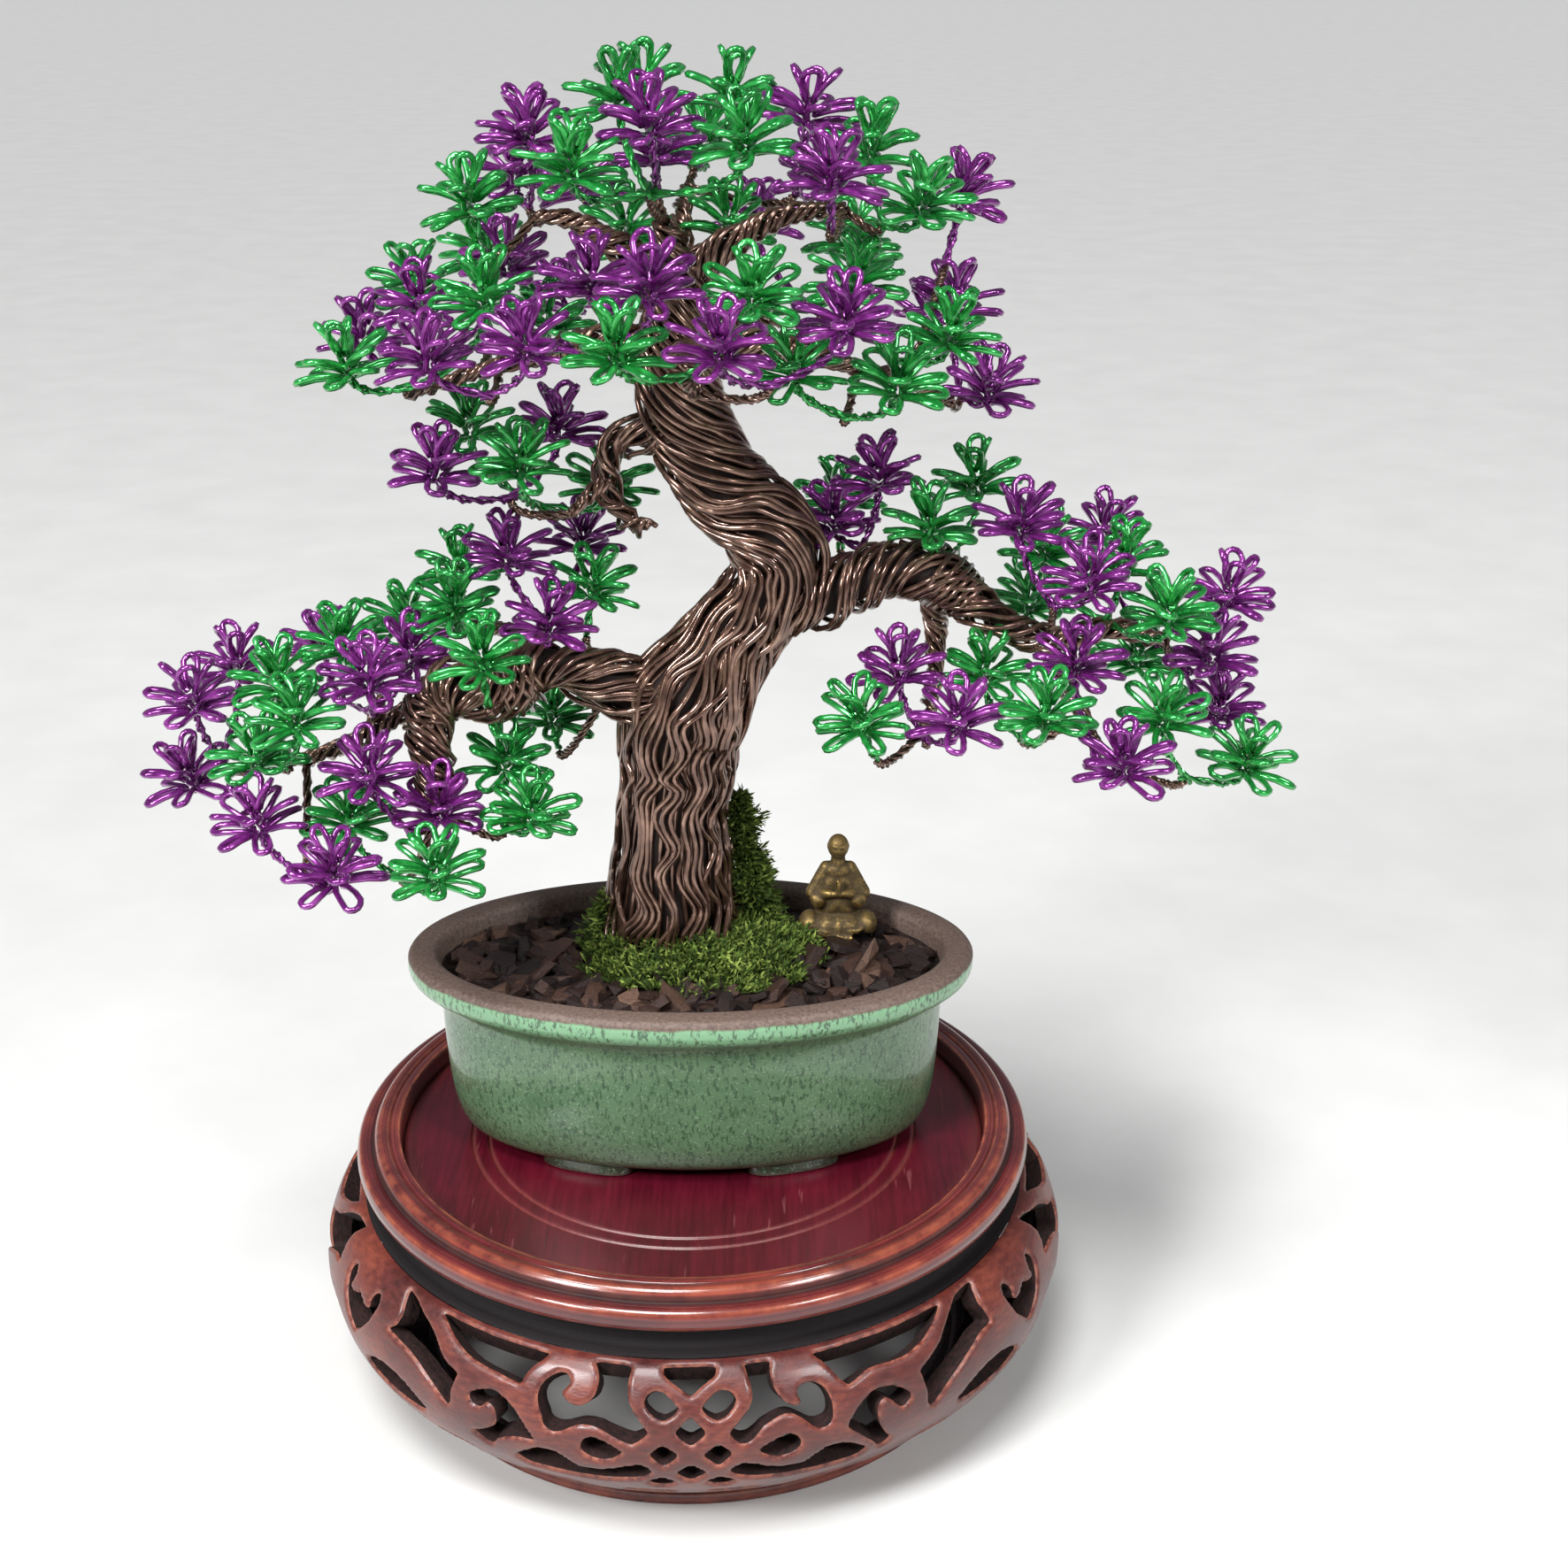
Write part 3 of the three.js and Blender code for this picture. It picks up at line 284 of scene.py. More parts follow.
class Finish:
    """A procedural material, put together from nodes round one shader."""

    def __init__(self, name, **constants):
        self.material = bpy.data.materials.new(name)
        self.material.use_nodes = True
        self.tree = self.material.node_tree
        self.shader = self.tree.nodes["Principled BSDF"]
        for socket, value in constants.items():
            self.shader.inputs[socket.replace("_", " ")].default_value = value
        self.place = self.node("ShaderNodeTexCoord", {}, {}, "Object")

    def put(self, socket, value):
        if isinstance(value, Amount):
            self.tree.links.new(value.socket, socket)
        else:
            socket.default_value = value

    def node(self, kind, settings, sockets, output=0):
        made = self.tree.nodes.new(kind)
        for name, value in settings.items():
            if name == "stops":
                self.set_stops(made.color_ramp, value)
            else:
                setattr(made, name, value)
        for key, value in sockets.items():
            self.put(made.inputs[key], value)
        return Amount(self, made.outputs[output])

    def set_stops(self, ramp, stops):
        while len(ramp.elements) < len(stops):
            ramp.elements.new(1.0)
        for element, (place, colour) in zip(ramp.elements, stops):
            element.position = place
            element.color = paint(*colour)

    def stretched(self, scale):
        """The object's own coordinates in millimetres, times a scale for each axis."""
        size = tuple(part / MM for part in scale)
        return self.node("ShaderNodeVectorMath", {"operation": "MULTIPLY"}, {0: self.place, 1: size})

    def grain(self, size, detail=3.0, roughness=0.55, stretch=(1, 1, 1), distortion=0.0):
        """Noise from 0 to 1 whose lumps are about size millimetres."""
        sockets = {"Vector": self.stretched(tuple(part / size for part in stretch)), "Scale": 1.0,
                   "Detail": detail, "Roughness": roughness, "Distortion": distortion}
        return self.node("ShaderNodeTexNoise", {}, sockets)

    def height(self):
        """Height over the table in millimetres."""
        place = self.stretched((1, 1, 1))
        return self.node("ShaderNodeSeparateXYZ", {}, {0: place}, "Z")

    def drawn(self, name):
        """A number that the mesh carries at each of its points."""
        return self.node("ShaderNodeAttribute", {"attribute_name": name}, {}, "Fac")

    def island(self):
        """A number from 0 to 1 of its own for each loose part of the mesh."""
        return self.node("ShaderNodeNewGeometry", {}, {}, "Random Per Island")

    def blend(self, share, under, over):
        """One colour over another by a share. The upper one may be plain, given as it looks on a screen."""
        over = over if isinstance(over, Amount) else paint(*over)
        return self.node("ShaderNodeMix", {"data_type": "RGBA"}, {0: share, 6: under, 7: over}, 2)

    def ramp(self, value, *stops):
        """Colours given as they look on a screen, each with the value that has it."""
        return self.node("ShaderNodeValToRGB", {"stops": stops}, {0: value}, "Color")

    def two_tone(self, value, dark, light, high=0.7):
        return self.ramp(value, (0.3, dark), (high, light))

    def bump(self, height, depth, strength=1.0):
        """Raises the surface by height times depth, in millimetres."""
        sockets = {"Height": height, "Distance": depth * MM, "Strength": strength}
        self.put(self.shader.inputs["Normal"], self.node("ShaderNodeBump", {}, sockets))

    def colour(self, value):
        self.put(self.shader.inputs["Base Color"], value)

    def roughness(self, value):
        self.put(self.shader.inputs["Roughness"], value)

    def metal(self, value):
        self.put(self.shader.inputs["Metallic"], value)

    def coat(self, value):
        self.put(self.shader.inputs["Coat Weight"], value)


def enamelled_wire(name, dark, middle, light, metal):
    """Enamelled wire: clear coloured coat over metal, thinner in some patches than in others."""
    finish = Finish(name, Coat_Roughness=0.08, IOR=1.55)
    patches = finish.grain(3.5, detail=2.0)
    fine = finish.grain(0.5, detail=2.0)
    tone = finish.ramp(patches, (0.25, dark), (0.5, middle), (0.78, light))
    finish.colour(finish.blend(finish.island() * 0.25, tone, middle))
    finish.roughness(0.13 + fine * 0.1)
    finish.metal(metal + fine * 0.08)
    finish.coat(0.65 + patches * 0.3)
    finish.bump(fine, 0.02, 0.5)
    return finish.material


def moss_leaf():
    finish = Finish("moss_leaf", IOR=1.4)
    patches = finish.grain(5.0)
    fresh = finish.ramp(finish.island(), (0.0, (36, 52, 16)), (0.45, (74, 98, 30)), (1.0, (146, 164, 78)))
    finish.colour(finish.blend(patches.step(0.45, 0.7) * 0.5, fresh, (44, 66, 20)))
    finish.roughness(0.75 + patches * 0.2)
    finish.bump(finish.grain(0.3), 0.05)
    return finish.material


def moss_ground():
    finish = Finish("moss_ground", IOR=1.35)
    lumps = finish.grain(1.2, detail=5.0)
    finish.colour(finish.two_tone(lumps, (22, 34, 12), (66, 88, 30)))
    finish.roughness(0.9 + lumps * 0.1)
    finish.bump(lumps, 0.8)
    return finish.material


def bark_chip():
    finish = Finish("bark_chip", IOR=1.4)
    fibre = finish.grain(0.9, detail=6.0, roughness=0.7, stretch=(1, 1, 3))
    tint = finish.ramp(
        finish.island(), (0.0, (26, 17, 16)), (0.5, (46, 31, 28)), (0.85, (72, 50, 42)), (1.0, (104, 78, 64)))
    finish.colour(finish.blend(fibre.step(0.35, 0.75) * 0.6, tint, (24, 16, 15)))
    finish.roughness(0.28 + fibre * 0.34)
    finish.bump(fibre, 0.35)
    return finish.material


def soil():
    finish = Finish("soil", IOR=1.35)
    crumbs = finish.grain(1.5, detail=6.0)
    finish.colour(finish.two_tone(crumbs, (16, 11, 10), (52, 38, 34), high=0.75))
    finish.roughness(0.88 + crumbs * 0.1)
    finish.bump(crumbs, 0.9)
    return finish.material


def speckled_glaze():
    """Green glaze over brown clay, bare on the rim and the feet, paler towards the rim, and darkened low down
    by painted shade beside the feet.
    """
    finish = Finish("speckled_glaze", Coat_Roughness=0.08, IOR=1.5)
    wander = finish.grain(6.0)
    height = finish.height() + (wander - 0.5) * 1.6
    inside = finish.drawn("inside")
    bare = (height.step(*BARE_FROM) + (1 - height.step(*BARE_UP_TO)) + inside).clipped()
    green = finish.two_tone(finish.grain(14.0, detail=4.0), (74, 106, 76), (94, 126, 92))
    green = finish.blend(height.step(*PALE_FROM) * 0.75, green, (122, 172, 130))
    # Painted shade: the glaze goes nearly black low on the body and on the feet, just over the panel
    green = finish.blend((1 - height.step(*SHADED_UP_TO)) * 0.85, green, (34, 38, 27))
    pores = finish.grain(0.72, detail=2.5, roughness=0.6, stretch=(1, 1, 0.42), distortion=0.4)
    dense = finish.grain(9.0)
    speckle = pores.step(0.52, 0.6) * (0.5 + dense * 0.8)
    green = finish.blend(speckle.clipped() * 0.85, green, (44, 74, 52))
    freckle = finish.grain(0.5, detail=1.0).step(0.6, 0.68)
    green = finish.blend(freckle * 0.5, green, (136, 160, 132))
    clay_grain = finish.grain(0.7, detail=5.0)
    clay = finish.two_tone(clay_grain, (78, 62, 55), (116, 97, 88))
    finish.colour(finish.blend(bare, green, clay))
    finish.roughness((1 - bare) * (0.26 + pores * 0.14) + bare * 0.6)
    finish.coat((1 - bare) * 0.7)
    finish.bump(pores * (1 - bare) * 0.5 + clay_grain * bare, 0.12)
    return finish.material


def red_lacquer():
    """Brown-red lacquer, worn to orange wood on its edges."""
    finish = Finish("red_lacquer", Coat_Roughness=0.2, IOR=1.5)
    streaks = finish.grain(2.4, detail=5.0, stretch=(1, 1, 3))
    clouds = finish.grain(16.0, detail=3.0)
    fine = finish.grain(0.6, detail=4.0)
    tone = clouds * 0.6 + streaks * 0.4
    base = finish.ramp(tone, (0.32, (52, 17, 16)), (0.5, (86, 32, 27)), (0.7, (126, 58, 40)))
    base = finish.blend(fine.step(0.55, 0.7) * 0.3, base, (70, 26, 26))
    worn = finish.drawn("edge_wear") * finish.grain(1.6, detail=4.0).step(0.38, 0.6)
    finish.colour(finish.blend(worn.clipped() * 0.5, base, (186, 116, 92)))
    finish.roughness(0.34 + streaks * 0.25 + worn * 0.15)
    finish.coat(0.35 - worn.clipped() * 0.3)
    finish.bump(streaks + fine * 0.4, 0.14)
    return finish.material


def shaded_cut_wood():
    """The sawn sides of the pierced openings, the apron's inner face and its edge bands: wood stained but
    never polished, kept nearly black with painted shade, as little light gets inside the stand.
    """
    finish = Finish("shaded_cut_wood", IOR=1.4)
    saw = finish.grain(1.0, detail=5.0, stretch=(1, 1, 0.5))
    # Painted shade: the near-black tones stand for the dark inside of the stand
    finish.colour(finish.two_tone(saw, (18, 8, 8), (50, 27, 25)))
    finish.roughness(0.7 + saw * 0.25)
    finish.bump(saw, 0.4)
    return finish.material


def turned_lacquer():
    """Rim and base lacquer, worn orange on sharp edges; under the beads dark lacquer plus painted shade, and
    painted shade in their groove and on the inner face.
    """
    finish = Finish("turned_lacquer", Coat_Roughness=0.1, IOR=1.5)
    lathe = finish.drawn("lathe")
    rings = finish.node("ShaderNodeTexNoise", {"noise_dimensions": "1D"}, {"W": lathe, "Scale": 1.4})
    clouds = finish.grain(20.0, detail=3.0)
    fine = finish.grain(0.9, detail=4.0)
    tone = clouds * 0.5 + rings * 0.42 + fine * 0.08
    base = finish.ramp(tone, (0.36, (58, 17, 22)), (0.52, (90, 30, 32)), (0.66, (128, 54, 44)))
    cove = finish.drawn("cove")
    # Painted shade over dark lacquer: near black under the beads, in the groove and on the inner face
    base = finish.blend(cove.clipped(), base, (12, 3, 6))
    worn = finish.drawn("edge_wear") * finish.grain(4.0, detail=5.0).step(0.2, 0.75)
    finish.colour(finish.blend(worn.clipped() * 0.7, base, (188, 104, 74)))
    finish.roughness((0.14 + fine * 0.12 + cove * 0.6).clipped())
    finish.coat((0.7 - worn.clipped() * 0.4 - cove * 0.7).clipped())
    finish.bump(rings + fine * 0.3, 0.07)
    return finish.material


def crimson_lacquer():
    """The flat panel: deep crimson over wood whose grain shows as fine lines."""
    finish = Finish("crimson_lacquer", Coat_Roughness=0.14, IOR=1.5)
    lines = finish.grain(1.1, detail=4.0, stretch=(1, 0.06, 1), distortion=0.2)
    clouds = finish.grain(20.0)
    base = finish.two_tone(lines * 0.5 + clouds * 0.5, (52, 3, 14), (92, 13, 32))
    scratch = finish.grain(0.5, detail=2.0, stretch=(0.3, 0.03, 1)).step(0.68, 0.74)
    worn = (finish.drawn("edge_wear") * (0.5 + lines)).clipped()
    base = finish.blend(scratch * 0.2, base, (160, 90, 90))
    finish.colour(finish.blend(worn * 0.4, base, (128, 66, 56)))
    finish.roughness(0.3 + lines * 0.1 + scratch * 0.2)
    finish.coat(0.2 - scratch * 0.1)
    finish.bump(lines, 0.05)
    return finish.material


def aged_brass():
    """Brass that is bright where it stands out and brown in its hollows."""
    finish = Finish("aged_brass", IOR=1.5)
    pits = finish.grain(0.35, detail=4.0)
    raised = finish.node("ShaderNodeNewGeometry", {}, {}, "Pointiness")
    patina = 1 - (raised + (finish.grain(1.6) - 0.5) * 0.06).step(0.497, 0.54)
    bright = finish.two_tone(pits, (138, 112, 66), (196, 166, 104))
    finish.colour(finish.blend(patina.clipped() * 0.85, bright, (46, 37, 27)))
    finish.metal(1 - patina.clipped() * 0.6)
    finish.roughness(0.3 + patina.clipped() * 0.35 + pits * 0.1)
    finish.bump(pits, 0.06)
    return finish.material


def shaded_bundle_core():
    """Wire deep inside a bundle, painted nearly black as the shade where little light comes."""
    finish = Finish("shaded_bundle_core", IOR=1.4)
    strands = finish.grain(1.0, stretch=(1, 1, 0.2))
    finish.colour(finish.two_tone(strands, (14, 9, 8), (40, 26, 22)))
    finish.roughness(0.6 + strands * 0.3)
    finish.bump(strands, 0.3)
    return finish.material


# Meshes

class Piece:
    """Gathers points and faces in millimetres and makes one object of them."""

    def __init__(self):
        self.points = []
        self.loops = []
        self.sizes = []
        self.marks = []
        self.drawn = {}
        self.count = 0

    def add(self, points, faces, mark=0, **drawn):
        """Faces is an array with one face to a row, or a list of such arrays. Drawn values go with points."""
        points = np.asarray(points, float).reshape(-1, 3)
        for group in faces if isinstance(faces, list) else [faces]:
            group = np.asarray(group, int)
            self.loops.append((group + self.count).ravel())
            self.sizes.append(np.full(len(group), group.shape[1]))
            self.marks.append(np.full(len(group), mark))
        for name in sorted(set(drawn) | set(self.drawn)):
            before = self.drawn.get(name, np.zeros(self.count))
            added = np.broadcast_to(drawn.get(name, 0.0), len(points))
            self.drawn[name] = np.concatenate([before, added])
        self.points.append(points)
        self.count += len(points)

    def make(self, name, materials, nodes, smooth=True):
        points = np.concatenate(self.points) * MM + STAND_AXIS
        loops = np.concatenate(self.loops)
        sizes = np.concatenate(self.sizes)
        mesh = bpy.data.meshes.new(name)
        mesh.vertices.add(len(points))
        mesh.vertices.foreach_set("co", points.ravel())
        mesh.loops.add(len(loops))
        mesh.loops.foreach_set("vertex_index", loops)
        mesh.polygons.add(len(sizes))
        mesh.polygons.foreach_set("loop_start", np.concatenate([[0], np.cumsum(sizes)[:-1]]))
        mesh.polygons.foreach_set("loop_total", sizes)
        mesh.polygons.foreach_set("material_index", np.concatenate(self.marks))
        mesh.polygons.foreach_set("use_smooth", np.full(len(sizes), smooth))
        mesh.update(calc_edges=True)
        for drawn, values in self.drawn.items():
            attribute = mesh.attributes.new(drawn, "FLOAT", "POINT")
            attribute.data.foreach_set("value", values.astype(np.float32))
        for material in materials:
            mesh.materials.append(material)
        settle(in_scene(name, mesh), nodes)


def in_scene(name, data):
    """An object for a mesh, a lamp or a camera."""
    made = bpy.data.objects.new(name, data)
    bpy.context.scene.collection.objects.link(made)
    return made


def settle(piece, nodes):
    """Puts a finished object on the one body, in place of its plain solids."""
    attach(piece, "root")
    if nodes:
        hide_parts(*nodes)


def grid_faces(rows, columns, wrap_rows=False):
    """Four-sided faces of a grid of points whose rows close on themselves, and its columns too if asked."""
    row = np.arange(rows if wrap_rows else rows - 1)[:, None]
    column = np.arange(columns)[None, :]
    after_row = (row + 1) % rows
    after_column = (column + 1) % columns
    corners = [row * columns + column, row * columns + after_column,
               after_row * columns + after_column, after_row * columns + column]
    return np.stack(np.broadcast_arrays(*corners), -1).reshape(-1, 4)


def unit(vectors):
    return vectors / np.maximum(np.linalg.norm(vectors, axis=-1, keepdims=True), 1e-9)


def angles_round(sides):
    return 2 * np.pi * np.arange(sides) / sides


def bell(values, middle, width):
    """1 at the middle, and nearly 0 further off than twice the width."""
    return np.exp(-((values - middle) / width) ** 2)


def length_along(line):
    """How far along a line each of its points lies."""
    return np.concatenate([[0], np.cumsum(np.linalg.norm(np.diff(line, axis=0), axis=1))])


def turned_out(first, second, angle):
    """The direction at an angle between two directions across a line, at each of its points."""
    return first * np.cos(angle)[:, None] + second * np.sin(angle)[:, None]


def add_wire(piece, line, radius, outward, sides=WIRE_SIDES, mark=0):
    """A round wire along a line, with a blunt tip at each end. Outward is a direction never along it."""
    ahead = unit(np.gradient(line, axis=0))
    outward = np.broadcast_to(outward, line.shape)
    first = unit(outward - ahead * np.sum(outward * ahead, -1, keepdims=True))
    second = np.cross(ahead, first)
    reach = np.broadcast_to(radius, len(line))[:, None, None]
    around = angles_round(sides)[None, :, None]
    rings = line[:, None] + reach * (first[:, None] * np.cos(around) + second[:, None] * np.sin(around))
    tips = [line[0] - ahead[0] * 0.3 * reach[0, 0], line[-1] + ahead[-1] * 0.3 * reach[-1, 0]]
    points = np.concatenate([rings.reshape(-1, 3), tips])
    side = np.arange(sides)
    following = (side + 1) % sides
    last = (len(line) - 1) * sides
    start = np.stack([following, side, np.full(sides, len(points) - 2)], -1)
    end = np.stack([last + side, last + following, np.full(sides, len(points) - 1)], -1)
    piece.add(points, [grid_faces(len(line), sides), np.concatenate([start, end])], mark)


def smooth_path(path, steps):
    """Points along a smooth curve through a path, whose radius runs straight from point to point."""
    path = np.array(path, float)
    ends = np.array([2 * path[0] - path[1], 2 * path[-1] - path[-2]])
    guide = np.concatenate([ends[:1], path, ends[1:]])[:, :3]
    place = np.linspace(0, len(path) - 1, steps + 1)
    index = np.minimum(place.astype(int), len(path) - 2)
    t = (place - index)[:, None]
    before, start, end, after = (guide[index + k] for k in range(4))
    slope_in = 0.5 * (end - before)
    slope_out = 0.5 * (after - start)
    curve = ((2 * t ** 3 - 3 * t ** 2 + 1) * start + (t ** 3 - 2 * t ** 2 + t) * slope_in
             + (-2 * t ** 3 + 3 * t ** 2) * end + (t ** 3 - t ** 2) * slope_out)
    radius = path[index, 3] + (path[index + 1, 3] - path[index, 3]) * t[:, 0]
    return np.concatenate([curve, radius[:, None]], 1)


def even_path(path, spacing):
    """A smooth path with its points the same length apart."""
    fine = smooth_path(path, 30 * (len(path) - 1))
    along = length_along(fine[:, :3])
    count = max(4, int(round(along[-1] / spacing)) + 1)
    wanted = np.linspace(0, along[-1], count)
    return np.stack([np.interp(wanted, along, fine[:, k]) for k in range(4)], 1), wanted


def carried_frames(line):
    """Two directions across a line at each point, turned as little as can be from point to point."""
    ahead = unit(np.gradient(line, axis=0))
    first = np.empty_like(line)
    side = np.array([0.0, 1.0, 0.0]) if abs(ahead[0][1]) < 0.8 else np.array([1.0, 0.0, 0.0])
    for k, direction in enumerate(ahead):
        side = side - direction * side.dot(direction)
        side = side / np.linalg.norm(side)
        first[k] = side
    return first, np.cross(ahead, first)


# Wire bundles

def scattered_ranks(count):
    """The numbers below count in an order that stays evenly spread, however many of them are taken."""
    turned = np.arange(count) * 0.6180339887 % 1.0
    return np.argsort(np.argsort(turned))


def strands_of(count, size, draw):
    """Which strand each wire is in, and its place across that strand from -1 to 1."""
    strand = np.zeros(count, int)
    across = np.zeros(count)
    start = 0
    index = 0
    while start < count:
        wires = min(count - start, max(2, size + draw.choice((-1, 0, 0, 1))))
        strand[start:start + wires] = index
        across[start:start + wires] = np.linspace(-1, 1, wires) if wires > 1 else 0
        start += wires
        index += 1
    return strand, across


def averaged_along(values, points):
    """Values averaged along their first axis, over a number of points to either side."""
    padded = np.pad(values, ((points, points), (0, 0)), mode="edge")
    return sum(padded[k:k + len(values)] for k in range(2 * points + 1)) / (2 * points + 1)


def noise_along(along, scale, offset):
    return np.array([noise.noise(Vector((offset, distance / scale, 0.37 * offset))) for distance in along])


def wires_up(room, spacing):
    """How far each wire is up in the bundle's face, from 0 to 1, where room is how many fit side by side."""
    count = max(3, int(room.max()))
    ranks = scattered_ranks(count)
    share = np.clip(room[:, None] - ranks, 0.0, 1.0)
    reach = int(DIVE_LENGTH / spacing)
    share = averaged_along(averaged_along(share, reach), reach)
    share[:, ranks < 3] = 1.0
    return share


def strand_waves(strands, along, seed, draw):
    """How each strand moves along a bundle: sideways, outwards, and in how far its wires spread."""
    sway, push, spread = np.zeros((3, len(along), strands))
    for index in range(strands):
        phase = along / draw.uniform(*SWAY_LENGTHS) + draw.random()
        phase += 0.3 * noise_along(along, 25, seed + index)
        strength = 1 + 1.3 * noise_along(along, 20, 60 + seed + index)
        sway[:, index] = strength * np.sin(2 * np.pi * phase)
        push[:, index] = noise_along(along, 8, 40 + seed + 1.7 * index)
        spread[:, index] = noise_along(along, 9, 130 + seed + 2.1 * index)
    return sway, push, spread


def add_bundle(piece, path, lay, seed, spacing=1.5, pitch=1.16, size=5, gap=((0, 0),), relief=0.0, fray=0.12,
               flare=0.0):
    """A bundle of wires round a path. Lay is the angle at which they wind, as [share of the length, degrees].

    The wires lie in strands of about size wires. Each strand sways in waves of its own, so that long narrow
    gaps open and close between strands. Gap is how wide they open, as [share of the length, millimetres].
    Relief is how far a strand's middle stands out. Wires dive into the bundle where it grows too thin to hold
    them side by side. Flare is how far the wires splay at their roots.
    """
    draw = random.Random(seed)
    stations, along = even_path(path, spacing)
    line = stations[:, :3]
    radius = stations[:, 3]
    first, second = carried_frames(line)
    middle = np.maximum(radius - WIRE_RADIUS, 0.6)
    angle_of_lay = np.radians(np.interp(along / along[-1], *zip(*lay)))
    turning = np.tan(angle_of_lay) / np.maximum(radius, 1.0)
    twist = np.concatenate([[0], np.cumsum((turning[1:] + turning[:-1]) / 2 * np.diff(along))])
    widest = np.interp(along / along[-1], *zip(*gap))
    room = 2 * np.pi * middle * np.cos(angle_of_lay) / pitch
    share = wires_up(room / (1 + 0.5 * widest / (size * pitch)), spacing)
    strand, across = strands_of(share.shape[1], size, draw)
    sway, push, spread = strand_waves(strand[-1] + 1, along, seed, draw)
    width = share.copy()
    strand_ends = np.flatnonzero(np.diff(np.append(strand, -1)))
    width[:, strand_ends] += 0.5 * widest[:, None] / pitch * share[:, strand_ends]
    slots = 2 * np.pi * (np.cumsum(width, 1) - width + share / 2) / np.sum(width, 1, keepdims=True)
    splay = flare * np.exp(-along / SPLAY_LENGTH)
    for wire, own in enumerate(strand):
        sideways = fray * noise_along(along, FRAY_LENGTH, 90 + 3.1 * wire + seed)
        sideways += widest * (0.36 * sway[:, own] + 0.6 * across[wire] * spread[:, own])
        outwards = relief * (0.4 - across[wire] ** 2 + 1.2 * push[:, own] + 0.7 * (own % 2))
        outwards += fray * noise_along(along, FRAY_LENGTH, 200 + 2.3 * wire + seed)
        outwards += splay * draw.uniform(0.3, 1.0)
        sunk = (1 - share[:, wire]) * np.minimum(1.5, middle * 0.6)
        outward = turned_out(first, second, slots[:, wire] + twist + sideways / np.maximum(middle, 1.0))
        wire_line = line + outward * (middle - sunk + outwards)[:, None]
        cut_off = draw.randrange(4) if flare else 0
        for start, end in shown_runs(share[:, wire] > 0.02):
            start = max(start, cut_off)
            add_wire(piece, wire_line[start:end], WIRE_RADIUS, outward[start:end])
    if radius.max() > CORE_FROM:
        # The core is a tube painted dark as shade, seen through the gaps between strands
        add_wire(piece, line, np.maximum(radius - 1.5 - relief, 0.5), first, sides=12, mark=1)


def shown_runs(shown):
    """The stretches where a list is true, at least three points long."""
    runs = []
    start = None
    for k, here in enumerate(list(shown) + [False]):
        if here and start is None:
            start = k
        if not here and start is not None:
            if k - start >= 3:
                runs.append((start, k))
            start = None
    return runs


def add_winding(piece, path, begin, end, turns, seed):
    """More wire wound over a length of limb, the other way from its own lay."""
    stations, along = even_path(path, 0.8)
    first, second = carried_frames(stations[:, :3])
    chosen = (along >= begin * along[-1]) & (along <= end * along[-1])
    share = (along[chosen] - along[chosen][0]) / np.ptp(along[chosen])
    reach = stations[chosen, 3] - 0.2 + 0.5 * np.sin(np.pi * share)
    draw = random.Random(seed)
    for strand in range(3):
        angle = 2 * np.pi * (strand - turns * share) / 3 + draw.uniform(-0.2, 0.2)
        outward = turned_out(first[chosen], second[chosen], angle)
        add_wire(piece, stations[chosen, :3] + outward * reach[:, None], WIRE_RADIUS, outward)


def add_twisted(piece, line, strands, wire_radius, turns, phase, taper=0.0):
    """Two or three wires twisted round each other along a line."""
    first, second = carried_frames(line)
    share = np.linspace(0, 1, len(line))
    reach = wire_radius * (1.0 if strands == 2 else 1.155) * (1 - taper * share)
    for strand in range(strands):
        outward = turned_out(first, second, phase + 2 * np.pi * (strand / strands + turns * share))
        add_wire(piece, line + outward * reach[:, None], wire_radius, outward, sides=THIN_WIRE_SIDES)


# The tree's plan, worked out as for its solids

def eased_apart():
    """The blooms, moved apart where they are closer than their spread, with the way that each one faces."""
    owner = [k for k, spray in enumerate(SPRAYS) for _ in spray[2:]]
    first = np.array([place for spray in SPRAYS for place in spray[2:]], float)
    places = first.copy()
    flatten = 1.5
    for _ in range(60):
        for i in range(len(places)):
            for j in range(i + 1, len(places)):
                between = places[j] - places[i]
                distance = math.hypot(between[0], between[1], flatten * between[2])
                if distance < BLOOM_SPACING:
                    push = (BLOOM_SPACING - distance) / distance * 0.25
                    places[i] -= between * push
                    places[j] += between * push
        places += (first - places) * 0.02
    blooms = []
    for k, place in enumerate(places):
        x, y, forward = CLUSTERS[SPRAYS[owner[k]][0].split("_")[0]]
        lean = (place - (x, y, place[2])) / 400
        axis = lean + np.array([0.08 * math.sin(2.1 * k), 0.08 * math.cos(1.7 * k) - forward, 1])
        upright = axis + np.array([0, 0.8 * forward, 0])
        blooms.append({"spray": owner[k], "place": place, "spin": 1.3 * k, "axis": unit(axis),
                       "upright": unit(upright)})
    return blooms


def nearest_on_limbs(target, cluster):
    """The nearest point of a cluster's limbs, beyond their roots."""
    own = [path for name, path in LIMBS.items() if name.startswith(cluster)]
    stations = np.concatenate([smooth_path(path, 3 * (len(path) - 1))[2:, :3] for path in own])
    return stations[np.argmin(np.linalg.norm(stations - target, axis=1))]


